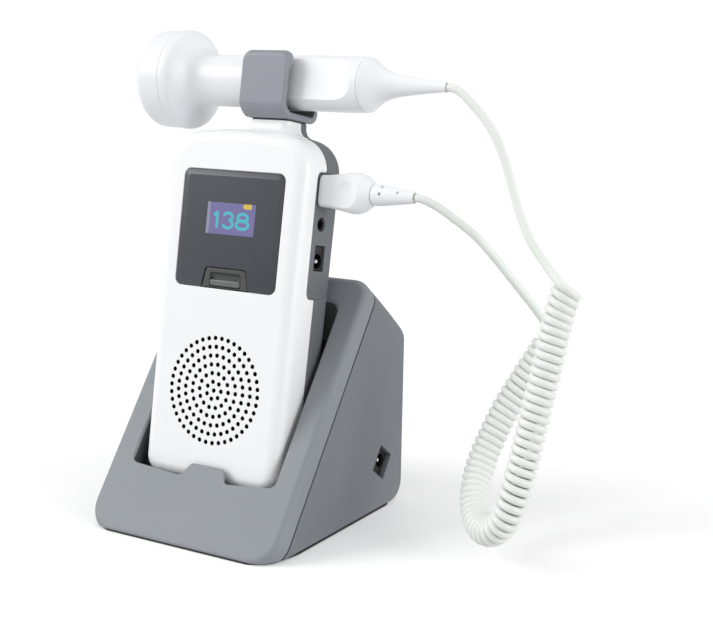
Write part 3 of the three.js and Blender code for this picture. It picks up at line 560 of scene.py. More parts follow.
def helix(axis_line, eye, first=0.7, last=1.3, start=-5, end_part=0.944, steps=20):
    """Helix about a smooth axis, that starts and ends on the side turned to the eye.
    The turns close up where the axis bends, so that they still touch on the outside of the bend, and open a little
    above the bend, where the coil's weight pulls on them."""
    axis = relax(resample(axis_line, 0.25), 120)
    d = np.concatenate([[0], np.cumsum(np.linalg.norm(np.diff(axis, axis=0), axis=1))])
    t = np.gradient(axis, axis=0)
    t /= np.linalg.norm(t, axis=1)[:, None]
    bend = softened(np.linalg.norm(np.gradient(t, axis=0), axis=1) / np.gradient(d), 60)
    fine = np.arange(first, d[-1] - last, 0.05)
    pitch = PITCH / (1 + HELIX_R * np.interp(fine, d, bend)) * np.interp(fine, [0, 40, 62, 80, 96, 104], [1, 1, 1.08, 1.16, 1.08, 1])
    turn = np.concatenate([[0], np.cumsum(0.05 / pitch[:-1])])
    turns = round(turn[-1] - end_part) + end_part
    n = int(round(turns * steps))
    at = np.interp(np.linspace(0, turn[-1], n + 1), turn, fine)
    c = np.stack([np.interp(at, d, axis[:, k]) for k in range(3)], 1)
    tt = np.stack([np.interp(at, d, t[:, k]) for k in range(3)], 1)
    tt /= np.linalg.norm(tt, axis=1)[:, None]
    f = np.array(eye, float)[None] - c
    f -= tt * (f * tt).sum(1)[:, None]
    f /= np.linalg.norm(f, axis=1)[:, None]
    s = np.cross(tt, f)
    ang = math.radians(start) - 2 * math.pi * turns * np.arange(n + 1) / n
    slant = math.tan(math.radians(13)) * np.clip(1 - at / 24, 0, 1) ** 1.5      # the lead's pull tips the first turns
    return c + HELIX_R * (np.cos(ang)[:, None] * f + np.sin(ang)[:, None] * (s - tt * slant[:, None]))


coil_axis = smooth_profile(COIL, 0.4)
helix_line = helix(coil_axis, (291.29, -366.71, 177.62))


def tube_mesh(line, r, n=12):
    """Round tube along a line, with flat ends. Returns vertices and faces."""
    t = np.gradient(line, axis=0)
    t /= np.linalg.norm(t, axis=1)[:, None]
    ref = np.array([0.3, -0.2, 0.93])
    rr = np.broadcast_to(r, len(line))
    u = np.cross(t[0], ref)
    u /= np.linalg.norm(u)
    rings = []
    for i in range(len(line)):
        u = u - t[i] * (u @ t[i])
        u /= np.linalg.norm(u)
        v = np.cross(t[i], u)
        a = 2 * math.pi * np.arange(n) / n
        rings.append(line[i] + rr[i] * (np.cos(a)[:, None] * u + np.sin(a)[:, None] * v))
    return loft_mesh(rings)


def tangent_join(free, end_point, end_dir, reach=1.8):
    """Free points, then a smooth run into end_point along end_dir."""
    p = np.array(end_point, float)
    return smooth_profile(np.vstack([np.array(free, float), p - np.array(end_dir, float) * reach, p]), 0.8)


def heading(a, b):
    return (b - a) / np.linalg.norm(b - a)


lead_a = tangent_join(PROBE_LEAD, helix_line[0], heading(helix_line[0], helix_line[1]))
lead_b = tangent_join(PLUG_LEAD, helix_line[-1], heading(helix_line[-1], helix_line[-2]))


def length_of(line):
    return float(np.linalg.norm(np.diff(line, axis=0), axis=1).sum()) * MM


probe_lead = raw("probe_lead", tube_mesh(resample(lead_a, 0.9), CORD_R, 20), DOCK)
k = np.arange(len(helix_line))
coil = raw("curly_coil", tube_mesh(helix_line, 1.46 + 0.04 * (np.exp(-k / 6.0) + np.exp(-(k[-1] - k) / 6.0)), 14), DOCK)
plug_lead = raw("plug_lead", tube_mesh(resample(lead_b, 0.9), CORD_R, 20), DOCK)
for ob in (probe_lead, coil, plug_lead):
    finish(ob, CORDMAT, None, angle=50, weighted=False)
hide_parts("cord_probe_lead")
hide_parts("cord_coil")
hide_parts("cord_plug_lead")
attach(coil, "unit")
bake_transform(probe_lead)
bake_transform(plug_lead)
print("lengths", length_of(lead_a), length_of(helix_line), length_of(lead_b))

# ------------------------------------------------------------------ handheld unit: shells
PARTING = 14.7


def unit_outline(i=0.0, n=14):
    t, b = 31.25 - i, 30.4 - i
    return outline([(-b, 11 + i, 7 - 0.8 * i), (b, 11 + i, 7 - 0.8 * i), (t, 142.2 - i, 13 - i), (0, 145.3 - i, 150),
                    (-t, 142.2 - i, 13 - i)], n)


def key_outline(o=0.0, n=8):
    return outline([(-10.8 - o, 84.4 - o, 0.5), (10.8 + o, 84.4 - o, 0.5), (9.2 + o, 92.4 + o, 1.6), (-9.2 - o, 92.4 + o, 1.6)], n)


def block(x0, x1, y0, y1, z0, z1):
    return slab(rrect(x0, y0, x1, y1), z0, z1)


def neck(name):
    """Short post on top of the unit with a flared foot."""
    pts, nor = rrect(0.2, 5.5, 17.8, 20.5, 3.0, 10)
    rings = []
    for s, o in ([(141.5, 3.5)] + [(147.6 - 4.3 * math.sin(a), 3.5 * (1 - math.cos(a))) for a in np.linspace(math.pi / 2, 0, 10)]
                 + [(148.5, 0.0), (148.65, -0.07), (148.72, -0.25)]):
        q = pts + nor * o
        rings.append(np.array([(a, b, s) for a, b in q]))
    return raw(name, loft_mesh(rings))


SCREWS = [(-21, 133), (21, 133), (-21, 88), (21, 88)]
front = raw("front_shell_skin", slab(unit_outline(), 0, PARTING - 0.15, 5.0, 0.3, 12, "y"))
boolean(front, raw("t", slab(unit_outline(2.2), 2.4, 20, 3.0, 0, 6, "y")))
post = neck("neck")
boolean(post, raw("t", block(-30, 40, -5, PARTING - 0.15, 130, 160)), "INTERSECT")
boolean(front, post, "UNION")
window_cut = raw("t", slab(rrect(-22.9, 84.4, 22.9, 128.8, 3.0, 10), 0, 1.3, -0.3, 0, 4, "y"))
boolean(front, window_cut)
boolean(front, raw("t", slab(key_outline(0.06), 0.5, 4, 0, 0, 1, "y")))
boolean(front, raw("t", slab(rrect(-19.5, 96.0, 19.5, 126.0, 2.0, 6), 0.5, 4, 0, 0, 1, "y")))
recess_pts = outline([(9.4, 84.1, 3.0), (24, 84.1, 0), (24, 130.9, 0), (9.4, 130.9, 2.6)], 12)
boolean(front, raw("t", slab(recess_pts, 28.6, 31.0, 0, -1.1, 6, "x")))
for s in (112.0, 98.0):
    boolean(front, raw("t", slab(rrect(8.3, s - 6.3, 12.7, s + 6.3, 2.15, 8), -34, -28, 0, 0, 1, "x")))


def grille_plate(cx, cz, r_out, hole, rim, thick, n_out=96, n=16):
    """Round plate drilled with a centre hole and six rings of 7, 14, 21 ... holes, each with a rounded rim."""
    centres = [(cx, cz)] + [(cx + ring * 3.28 * math.cos(2 * math.pi * k / (7 * ring)), cz + ring * 3.28 * math.sin(2 * math.pi * k / (7 * ring)))
                            for ring in range(1, 7) for k in range(7 * ring)]
    centres = np.array(centres)
    verts, faces = [], []

    def sheet(depth, r, flip):
        """flat sheet with holes of radius r, returns the index of each hole's first vertex"""
        pts = [circle(cx, cz, r_out, n_out)[0]] + [circle(x, z, r, n)[0] for x, z in centres]
        edges, start = [], 0
        for q in pts:
            m = len(q)
            edges += [(start + i, start + (i + 1) % m) for i in range(m)]
            start += m
        flat = np.concatenate(pts)
        out = geometry.delaunay_2d_cdt([Vector(q) for q in flat], edges, [], 0, 1e-6)
        base = len(verts)
        order = {}
        for new, olds in enumerate(out[3]):
            for o in olds:
                order[o] = base + new
        verts.extend((v[0], depth, v[1]) for v in out[0])
        for f in out[2]:
            mid = np.mean([out[0][i][:] for i in f], axis=0)
            gap = np.linalg.norm(centres - mid, axis=1).min()
            if gap < r * 0.97 or np.linalg.norm(mid - (cx, cz)) > r_out:
                continue
            faces.append(tuple(base + i for i in (f[::-1] if flip else f)))
        return order

    front_at = sheet(0.0, hole + rim, False)
    back_at = sheet(thick, hole, True)
    for h, (x, z) in enumerate(centres):
        loops = [[front_at[n_out + h * n + i] for i in range(n)]]
        for dep, r in ((rim * 0.3, hole + rim * 0.3), (rim, hole)):
            loops.append([len(verts) + i for i in range(n)])
            verts.extend((a, dep, b) for a, b in circle(x, z, r, n)[0])
        loops.append([back_at[n_out + h * n + i] for i in range(n)])
        for a, b in zip(loops, loops[1:]):
            faces.extend((a[i], a[(i + 1) % n], b[(i + 1) % n], b[i]) for i in range(n))
    return verts, faces


GX, GZ, GR = 0.0, 46.5, 22.3
boolean(front, raw("t", slab(circle(GX, GZ, GR, 96), -1, 3.0, 0, 0, 1, "y")))
bm = bmesh.new()
bm.from_mesh(front.data)
wall = []
inverse = np.linalg.inv(UNIT)
for f in bm.faces:
    local = [(inverse @ np.array([*(np.array(v.co) / MM), 1.0]))[:3] for v in f.verts]
    if all(abs(math.hypot(v[0] - GX, v[2] - GZ) - GR) < 0.01 for v in local):
        wall.append(f)
bmesh.ops.delete(bm, geom=wall, context="FACES")
plate = raw("t", grille_plate(GX, GZ, GR, 0.86, 0.09, 2.4))
bm.from_mesh(plate.data)
bpy.data.objects.remove(plate)
bmesh.ops.remove_doubles(bm, verts=bm.verts, dist=5e-6)
bmesh.ops.recalc_face_normals(bm, faces=bm.faces)
print("grille", len(wall), "open edges", sum(1 for e in bm.edges if len(e.link_faces) != 2))
bm.to_mesh(front.data)
bm.free()
tidy(front)
finish(front, [WHITE, BLACK], "unit", ["front_shell"])
# painted shade: the grille's hole walls and the back of its plate take the black slot instead of the white, standing in
# for the shade inside the holes
for poly in front.data.polygons:
    x, d, z = in_frame(poly.center, UNIT)
    if math.hypot(x - GX, z - GZ) < GR - 0.5 and 0.08 < d < 2.5:
        poly.material_index = 1

cloth = raw("speaker_cloth", slab(circle(0, 46.5, 20.6, 48), 2.45, 2.85, 0.1, 0.1, 2, "y"))
finish(cloth, CONE, "unit")

rear = raw("rear_shell_skin", slab(unit_outline(), PARTING + 0.15, 27, 0.3, 5.0, 12, "y"))
boolean(rear, raw("t", slab(unit_outline(2.2), 10, 24.6, 0, 3.0, 6, "y")))
post = neck("neck")
boolean(post, raw("t", block(-30, 40, PARTING + 0.15, 30, 130, 160)), "INTERSECT")
boolean(rear, post, "UNION")
side_cut = outline([(2, 84.3, 0), (25.2, 84.3, 5.2), (25.2, 130.7, 3.0), (2, 130.7, 0)], 12)
boolean(rear, raw("t", slab(side_cut, 30.0, 31.0, 0, -1.1, 6, "x")))
tongue = raw("t", slab(outline([(9.7, 84.4, 2.8), (24.9, 84.4, 4.9), (24.9, 130.6, 2.6), (9.7, 130.6, 2.3)], 12), 27.9, 30.0, 0, 0.2, 3, "x"))
boolean(rear, tongue, "UNION")
cover_hole = slab(rrect(-25.7, 17.4, 25.7, 80.3, 3.2, 10), 25.5, 27.0, 0, -0.35, 4, "y")
boolean(rear, raw("t", cover_hole))
boolean(rear, raw("t", slab(rrect(-23.5, 20, 23.5, 72, 2.0, 6), 22, 26, 0, 0, 1, "y")))
for x, s in SCREWS:
    boolean(rear, raw("t", slab(circle(x, s, 2.9, 32), 24.9, 27.0, 0, -0.3, 3, "y")))
boolean(rear, raw("t", slab(circle(16.0, 112.0, 2.6, 40), 26, 30.0, 0, -0.25, 3, "x")))
boolean(rear, raw("t", slab(rrect(13.4, 94.65, 20.2, 104.2, 0.35, 4), 26, 30.0, 0, -0.15, 2, "x")))
boolean(rear, raw("t", slab(circle(15.5, 124.5, 3.0, 40), 26, 30.3, 0, 0, 1, "x")))
for x in (-8.0, 8.0):
    boolean(rear, raw("t", slab(circle(x, 19.0, 2.8, 32), 10, 12.1, 0, 0, 1, "z")))
tidy(rear)
finish(rear, DARKGREY, "unit", ["rear_shell"])

cover = raw("battery_door", slab(rrect(-25.4, 17.7, 25.4, 80.0, 3.0, 10), 25.8, 27.0, 0, 0.3, 3, "y"))
boolean(cover, raw("t", slab(circle(0, 76, 2.9, 32), 26.4, 27.0, 0, -0.25, 3, "y")))
boolean(cover, raw("t", slab(circle(0, 76, 1.6, 24), 25, 26.6, 0, 0, 1, "y")))
for k in range(5):
    s = 21.0 + 1.7 * k
    boolean(cover, raw("t", slab(rrect(-8 + 0.6 * k, s - 0.4, 8 - 0.6 * k, s + 0.4, 0.4, 5), 26.6, 27.0, 0, -0.2, 2, "y")))
finish(cover, DARKGREY, "unit", ["battery_cover"])


def screw_head(name, x, z, top, r, m=UNIT, out=1, axis="y"):
    """Pan head with a cross recess. top is where its outer face lies, out is the way it faces along the axis."""
    prof = [(0.0, 0.0), (0.0, r)] + [(0.55 + 0.45 * math.sin(t), r * (0.55 + 0.45 * math.cos(t))) for t in np.linspace(0, math.pi / 2, 7)] + [(1.0, 0.0)]
    prof = [(top - out * (1.0 - a), q) for a, q in prof]
    ob = raw(name, lathe(prof, 40, axis, (x, 0, z) if axis == "y" else (x, z, 0)), m)
    lo, hi = sorted((top - out * 0.55, top + out * 0.4))
    for w, h in ((r * 1.1, 0.42), (0.42, r * 1.1)):
        boolean(ob, raw("t", slab(rrect(x - w / 2, z - h / 2, x + w / 2, z + h / 2), lo, hi, 0, 0, 1, axis), m))
    return ob


for i, (x, s) in enumerate(SCREWS):
    finish(screw_head(f"shell_screw_head_{i + 1}", x, s, 26.5, 2.45), STEEL, "unit", [f"shell_screw_{i + 1}"])
finish(screw_head("cover_screw_head", 0, 76, 27.0, 2.5), STEEL, "unit", ["battery_cover_screw"])

# ------------------------------------------------------------------ window, display and key
pts, nor = rrect(-22.65, 84.65, 22.65, 128.55, 2.8, 10)
rings = []
for d, i in [(1.0, 0.0), (0.45, 0.0), (0.28, 0.04), (0.19, 0.16), (0.11, 1.6), (0.07, 1.9), (0.05, 2.3)]:
    q = pts - nor * i
    rings.append(np.array([(a, d, b) for a, b in q]))
window = raw("window_panel", loft_mesh(rings))
boolean(window, raw("t", slab(key_outline(0.06), -1, 3, 0, 0, 1, "y")))
finish(window, WINDOW, "unit", ["display_window"], angle=24)

# lit display, seen at the window's face
SX, SZ, SW, SH = 0.16, 110.75, 21.74, 11.8


def flat_piece(name, pts2, d, mat, thick=0.012):
    pts2 = np.array(pts2)
    rings = [np.array([(a, d + thick, b) for a, b in pts2]), np.array([(a, d, b) for a, b in pts2])]
    ob = raw(name, loft_mesh(rings))
    return finish(ob, mat, "unit", weighted=False)


flat_piece("display_ground", rrect(SX - SW / 2 + 1.3, SZ - SH / 2, SX + SW / 2, SZ + SH / 2, 0.12, 3)[0], 0.035, SCREEN)
flat_piece("display_strip", rrect(SX - SW / 2, SZ - SH / 2, SX - SW / 2 + 1.3, SZ + SH / 2, 0.12, 3)[0], 0.035, STRIP)


def ribbon(name, points, w, d, mat, closed=False):
    """Flat ribbon of width w on the display."""
    p = np.array(points, float)
    if closed:
        t = np.roll(p, -1, 0) - np.roll(p, 1, 0)
    else:
        t = np.gradient(p, axis=0)
    t /= np.linalg.norm(t, axis=1)[:, None]
    nrm = np.stack([-t[:, 1], t[:, 0]], 1)
    a, b = p + nrm * w / 2, p - nrm * w / 2
    verts, faces = [], []
    m = len(p)
    for q in (a, b):
        verts += [(x, d, z) for x, z in q]
    for q in (a, b):
        verts += [(x, d + 0.01, z) for x, z in q]
    for i in range(m if closed else m - 1):
        k = (i + 1) % m
        faces += [(i, k, m + k, m + i), (2 * m + i, 3 * m + i, 3 * m + k, 2 * m + k),
                  (i, 2 * m + i, 2 * m + k, k), (m + i, m + k, 3 * m + k, 3 * m + i)]
    if not closed:
        faces += [(0, m, 3 * m, 2 * m), (m - 1, 3 * m - 1, 4 * m - 1, 2 * m - 1)]
    return raw(name, (verts, faces))


def disc(x, z, r, d):
    return raw("t", slab(circle(x, z, r, 20), d, d + 0.01, 0, 0, 1, "y"))


def arc(cx, cz, rx, rz, a0, a1, n=28):
    t = np.radians(np.linspace(a0, a1, n))
    return [(cx + rx * math.cos(a), cz + rz * math.sin(a)) for a in t]


W = 1.14
D = 0.02
base = SZ - 3.72
parts = []
TALL = 0.83
one = [(-7.5, 6.05), (-6.15, 7.0)], [(-6.15, 7.0), (-6.15, 0.5)]
for k, seg in enumerate(one):
    q = np.array([np.array(seg[0]) + (np.array(seg[1]) - np.array(seg[0])) * u for u in np.linspace(0, 1, 6)]) * (1, TALL) + np.array([0.3, base])
    parts.append(ribbon("t", q, W, D + 0.0002 * k, DIGIT))
    for e in (q[0], q[-1]):
        parts.append(disc(e[0], e[1], W / 2, D + 0.0003 * k + 0.0001))
three = arc(-1.25, 5.45, 1.95, 1.65, 150, -78, 30) + arc(-1.25, 2.2, 2.2, 1.8, 78, -152, 34)
q = np.array(three) * (1, TALL) + np.array([0.3, base])
parts.append(ribbon("t", q, W, D, DIGIT))
for e in (q[0], q[-1]):
    parts.append(disc(e[0], e[1], W / 2, D + 0.0001))
for k, (cz, rx, rz) in enumerate(((5.45, 2.2, 1.62), (2.25, 2.7, 1.85))):
    q = np.array(arc(5.3, cz, rx, rz, 0, 351, 40)) * (1, TALL) + np.array([0.3, base])
    parts.append(ribbon("t", q, W, D + 0.0002 * k, DIGIT, closed=True))
digits = merged("display_digits", parts)
finish(digits, DIGIT, "unit", weighted=False)
bx, bz = SX + 7.2, SZ + 4.95
batt = merged("display_battery_mark", [
    raw("t", slab(rrect(bx - 1.45, bz - 0.95, bx + 1.85, bz + 0.95, 0.2, 3), D, D + 0.01, 0, 0, 1, "y")),
    raw("t", slab(rrect(bx - 1.95, bz - 0.5, bx - 1.45, bz + 0.5, 0.1, 3), D, D + 0.01, 0, 0, 1, "y"))])
finish(batt, BATT, "unit", weighted=False)

key = raw("power_key", slab(key_outline(-0.32), 0.42, 3.0, 0.3, 0, 4, "y"))
scoop_pts = outline([(-7.2, 85.0, 0.9), (7.2, 85.0, 0.9), (7.0, 90.6, 1.0), (-7.0, 90.6, 1.0)], 8)[0]
rings = []
for f, d in ((1.0, -0.6), (1.0, 0.42), (0.96, 0.62), (0.8, 1.1), (0.55, 1.5), (0.3, 1.7)):
    q = scoop_pts.copy()
    q[:, 1] = 87.8 + (q[:, 1] - 87.8) * f
    q[:, 0] *= 1 - (1 - f) * 0.06
    rings.append(np.array([(a, d, b) for a, b in q]))
boolean(key, raw("t", loft_mesh(rings)))
boolean(key, raw("t", slab(rrect(-12.2, 83.4, 12.2, 93.6, 0.5, 3), 2.9, 3.8, 0, 0, 1, "y")), "UNION")
tidy(key)
finish(key, KEYMAT, "power_button", ["power_button"], angle=28)
# the bar takes the lighter key grey: painted light on the lit lower wall of the groove
bar = raw("power_key_bar", slab(rrect(-6.9, 85.5, 6.9, 87.85, 0.9, 8), 0.12, 2.1, 0.55, 0, 6, "y"))
finish(bar, KEY_BAR_LIT, "power_button", angle=50)

for name, s, node in (("volume_key_upper", 112.0, "volume_up_key"), ("volume_key_lower", 98.0, "volume_down_key")):
    vk = raw(name, slab(rrect(8.6, s - 6.0, 12.4, s + 6.0, 1.85, 10), -31.9, -28.2, 0.5, 0, 5, "x"))
    finish(vk, DARKGREY, "volume_up" if "upper" in name else "volume_down", [node])

# ------------------------------------------------------------------ sockets in the side panel
hj = raw("headphone_socket", ring_lathe([(24.0, 2.35), (29.35, 2.35), (29.5, 2.2), (29.45, 1.95), (29.1, 1.8), (24.0, 1.8)], 48, "x", (0, 16.0, 112.0)))
hb = raw("t", slab(circle(16.0, 112.0, 2.34, 32), 23.4, 24.2, 0, 0, 1, "x"))
finish(merged("headphone_socket", [hj, hb]), BLACK, "unit", ["headphone_jack"])
dj = raw("charging_socket", slab(rrect(13.65, 94.9, 19.95, 103.95, 0.25, 3), 18, 29.3, 0, 0.12, 2, "x"))
boolean(dj, raw("t", slab(circle(16.7, 98.3, 2.8, 40), 20.5, 29.3, 0, -0.2, 3, "x")))
finish(dj, JACKMAT, "unit", ["dc_jack"])
pin = raw("charging_socket_pin", lathe([(20.4, 0), (20.4, 0.95), (28.3, 0.95), (28.8, 0.85), (29.1, 0.55), (29.2, 0)], 28, "x", (0, 16.7, 98.3)))
finish(pin, STEEL, "unit")

# ------------------------------------------------------------------ clip on the neck
CX0, CX1 = -1.4, 18.6
clip_pts, clip_nor = outline([
    (0, 149.3, 5.5), (24.5, 149.3, 4.2), (24.5, 154.6, 1.0), (21.9, 154.6, 1.0), (21.9, 151.8, 1.8), (2.6, 151.8, 3.2),
    (2.6, 169.6, 5.0), (4.5, 172.6, 0.5), (4.5, 173.8, 0.8), (0, 173.8, 2.6)], 10)


def clip_ring(x):
    u = min(x - CX0, CX1 - x)
    e = 0.85
    inset = 0.0 if u >= e else e - math.sqrt(max(0.0, e * e - (e - u) ** 2))
    q = clip_pts - clip_nor * inset
    c = 3.0
    drop = 0.0 if u >= c else c - math.sqrt(max(0.0, c * c - (c - u) ** 2))
    w = np.clip((q[:, 1] - 166.0) / 5.4, 0, 1)
    w = w * w * (3 - 2 * w)
    lift = np.clip((6.5 - q[:, 0]) / 6.0, 0, 1) * np.clip((156.0 - q[:, 1]) / 5.0, 0, 1)
    q = q.copy()
    q[:, 1] += -drop * w + drop * 0.75 * lift
    return np.array([(x, a, b) for a, b in q])


xs = [CX0 + 0.85 * (1 - math.cos(t)) for t in np.linspace(0, math.pi / 2, 8)]
xs += list(np.linspace(CX0 + 1.0, CX0 + 3.1, 8)) + [5.0, 8.6, 12.2] + list(np.linspace(CX1 - 3.1, CX1 - 1.0, 8))
xs += [CX1 - 0.85 * (1 - math.cos(t)) for t in np.linspace(math.pi / 2, 0, 8)]
clip = raw("hook_clip", loft_mesh([clip_ring(x) for x in xs]))
for d in (10.0, 17.7):
    boolean(clip, raw("t", slab(circle(9.0, d, 2.6, 32), 150.2, 151.6, 0, -0.25, 3, "z")))
tidy(clip)
finish(clip, [CLIPMAT, POCKET_SHADE], "unit", ["probe_clip"], angle=40)
# painted shade: the inner faces of the hook, between the front plate and the rear lip, take the near-black second slot,
# standing in for the shade inside the hook
for poly in clip.data.polygons:
    x, d, z = in_frame(poly.center, UNIT)
    if 2.4 < d < 22.3 and 151.2 < z < 170 and abs(poly.normal[0]) < 0.6:
        poly.material_index = 1
for i, d in ((1, 10.0), (2, 17.7)):
    finish(screw_head(f"clip_screw_head_{i}", 9.0, d, 151.4, 2.2, UNIT, 1, "z"), STEEL, "unit", [f"clip_screw_{i}"])

# painted shade: a thin black band in the gap between the neck's top and the clip's foot, standing in for the shade
# under the clip
shade_band = raw("neck_shade_band", slab(rrect(0.5, 5.8, 17.5, 20.2, 2.7, 8), 148.6, 149.35))
finish(shade_band, BLACK, "unit")

# ------------------------------------------------------------------ probe
PD, PS = 13.3, 163.6
cap_profile = smooth_profile([(-49.9, 0.0), (-49.86, 4.0), (-49.65, 8.0), (-49.2, 12.0), (-48.5, 15.2), (-47.4, 17.3), (-45.6, 18.35), (-43.0, 18.62)], 0.5).tolist()
cap_profile += [(-38, 18.74), (-36.55, 18.78), (-36.36, 18.7), (-36.3, 18.5), (-36.3, 16.6), (-45.6, 16.2), (-46.6, 14.5), (-46.6, 0)]
cap = raw("probe_cap", lathe(cap_profile, 128, "x", (0, PD, PS)))
finish(cap, PROBE, "probe", ["probe_face_cap"], angle=40)

handle_profile = [(-36.15, 16.9), (-36.15, 18.6), (-36.08, 18.85), (-35.85, 19.0)]
handle_profile += smooth_profile([(-34.8, 19.02), (-33.4, 18.85), (-32.2, 18.35), (-31.1, 17.3), (-30.0, 15.8), (-29.0, 14.05), (-28.0, 12.35), (-26.7, 11.0), (-24.9, 10.15), (-22.3, 9.82),
                                  (-16.0, 9.76), (-8.0, 9.8), (5.0, 9.95), (18.0, 10.15), (34.0, 10.22), (42.0, 10.18), (45.5, 10.02)], 0.6).tolist()
handle_profile += [(45.8, 9.97), (45.92, 9.88), (45.93, 7.6), (43.5, 5.4), (-18, 5.4), (-24.5, 7.0), (-29, 11.5), (-32, 15.2), (-34, 16.7)]
handle = raw("probe_body", ring_lathe(handle_profile, 144, "x", (0, PD, PS)))
tilt = math.radians(5.0)
for sign in (1, -1):
    nd = np.array([0, -math.cos(tilt) * sign, math.sin(tilt) * sign])
    side = np.cross([1, 0, 0], nd)
    prof = smooth_profile([(-4.0, 10.6), (2.0, 9.3), (7.0, 7.75), (11.0, 7.1), (17.0, 6.95), (30.0, 6.95), (34.0, 7.0), (37.6, 7.3), (40.6, 8.0), (42.7, 9.0), (44.0, 10.4)], 0.6)
    poly = np.vstack([prof, [(44.0, 16)], [(-4.0, 16)]])
    rings = []
    for w in (-14, 14):
        rings.append(np.array([np.array([a, PD, PS]) + nd * h + side * w for a, h in poly]))
        rings[-1][:, 0] = [a for a, h in poly]
    boolean(handle, raw("t", loft_mesh(rings)))
tidy(handle)
finish(handle, PROBE, "probe", ["probe_handle"], angle=22)

boot_profile = [(46.02, 0), (46.02, 9.86), (46.12, 9.96), (46.4, 9.99)] + smooth_profile(
    [(47.0, 9.8), (48.6, 8.75), (50.4, 7.35), (52.4, 6.1), (55.2, 4.98), (58.2, 4.15), (61.5, 3.55), (64.7, 3.12), (68.0, 2.7), (71.5, 2.3), (75.0, 1.98), (77.1, 1.85)], 0.5).tolist()
boot_profile += [(77.45, 1.72), (77.5, 1.5), (77.5, 0)]
tail = raw("probe_boot", lathe(boot_profile, 96, "x", (0, PD, PS)))
finish(tail, PROBE, "probe", ["probe_tail_boot"], angle=40)

for name, x, r, d, z, body in (("probe_cord_ring", 77.5, 1.72, PD, PS, "probe"), ("plug_cord_ring", 68.1, 1.92, 15.5, 124.5, "plug")):
    finish(raw(name, ring_lathe([(x - 0.35, 1.3), (x + 0.12, 1.3), (x + 0.16, 1.6), (x + 0.08, r), (x - 0.35, r - 0.06)], 48, "x", (0, d, z))),
           RING, body)

# ------------------------------------------------------------------ plug
def section(x, cy, cz, hy, hz, e, n=64):
    t = np.linspace(0, 2 * math.pi, n, endpoint=False)
    c, s = np.cos(t), np.sin(t)
    return np.stack([np.full(n, x), cy + hy * np.sign(c) * np.abs(c) ** (2 / e), cz + hz * np.sign(s) * np.abs(s) ** (2 / e)], 1)


stations = np.array([
    # x, half depth, half height, exponent, centre height
    (30.3, 4.0, 5.4, 6.0, 124.4), (30.5, 4.4, 5.75, 6.0, 124.4), (31.0, 4.6, 5.9, 6.0, 124.4), (34.0, 4.8, 6.05, 5.0, 124.45),
    (38.0, 5.2, 6.6, 4.0, 124.45), (41.0, 5.6, 7.2, 3.2, 124.5), (43.5, 5.8, 7.6, 2.6, 124.5), (45.5, 5.7, 7.55, 2.3, 124.5),
    (47.5, 5.3, 7.0, 2.1, 124.5), (49.2, 4.8, 6.0, 2.0, 124.5), (50.5, 4.35, 4.95, 2.0, 124.5), (51.3, 4.1, 4.3, 2.0, 124.5), (51.5, 3.6, 3.7, 2.0, 124.5)])
fine = smooth_profile(stations[:, :2], 0.4)
xs = np.concatenate([[30.3, 30.36, 30.5, 30.7, 31.0], np.arange(31.5, 51.3, 0.4), [51.3, 51.42, 51.5]])
rings = [section(x, 15.5, np.interp(x, stations[:, 0], stations[:, 4]), np.interp(x, stations[:, 0], stations[:, 1]),
                 np.interp(x, stations[:, 0], stations[:, 2]), np.interp(x, stations[:, 0], stations[:, 3])) for x in xs]
rings = np.array(rings)
for _ in range(3):   # soften the change from one station to the next, but keep both ends
    rings[6:-4] = (rings[5:-5] + 2 * rings[6:-4] + rings[7:-3]) / 4
body = raw("plug_shell", loft_mesh(list(rings)))
for sign in (1, -1):
    prof = smooth_profile([(28.0, 4.45), (36.0, 4.45), (41.0, 4.45), (44.0, 4.62), (46.5, 5.2), (48.5, 6.2)], 0.4)
    poly = np.vstack([prof, [(48.5, 12)], [(28.0, 12)]])
    rings2 = [np.array([(a, 15.5 - sign * h, w) for a, h in poly]) for w in (110, 140)]
    boolean(body, raw("t", loft_mesh(rings2)))
dimple = [(-0.5, 0), (-0.5, 2.9)] + [(0.05 + 0.33 * math.cos(t), 2.7 * math.sin(t)) for t in np.linspace(math.pi / 2, 0, 12)]
boolean(body, raw("t", lathe([(11.05 + a, r) for a, r in dimple], 48, "y", (41.6, 0, 125.4))))
tidy(body)
finish(body, BOOT, "plug", ["plug_body"], angle=30)
boot2_profile = [(51.8, 0), (51.8, 3.7), (51.86, 3.95), (52.1, 4.05)] + smooth_profile(
    [(53.0, 4.0), (55.0, 3.85), (58.5, 3.42), (62.5, 2.9), (66.2, 2.38), (67.6, 2.2)], 0.5).tolist() + [(67.95, 2.08), (68.1, 1.85), (68.1, 0)]
boot2 = raw("plug_relief", lathe(boot2_profile, 80, "x", (0, 15.5, 124.5)))
for x, ang in ((55.6, 128), (55.4, 176), (62.2, 156)):
    a = math.radians(ang)
    d = np.array([0, math.cos(a), math.sin(a)])
    side = np.cross([1.0, 0, 0], d)
    ring0, ring1 = [], []
    for k in range(24):
        t = 2 * math.pi * k / 24
        off = 0.62 * (math.cos(t) * np.array([1.0, 0, 0]) + math.sin(t) * side)
        ring0.append(np.array([x, 15.5, 124.5]) + d * 2.2 + off)
        ring1.append(np.array([x, 15.5, 124.5]) + d * 6.0 + off)
    boolean(boot2, raw("t", loft_mesh([np.array(ring0), np.array(ring1)])))
tidy(boot2)
finish(boot2, BOOT, "plug", ["plug_boot"], angle=35)

# ------------------------------------------------------------------ dock
HW = 42.93
T = math.tan(SLOPE)
RIDGE, BACK, BACK_TOP = (68.47, 94.39), 95.84, 69.38


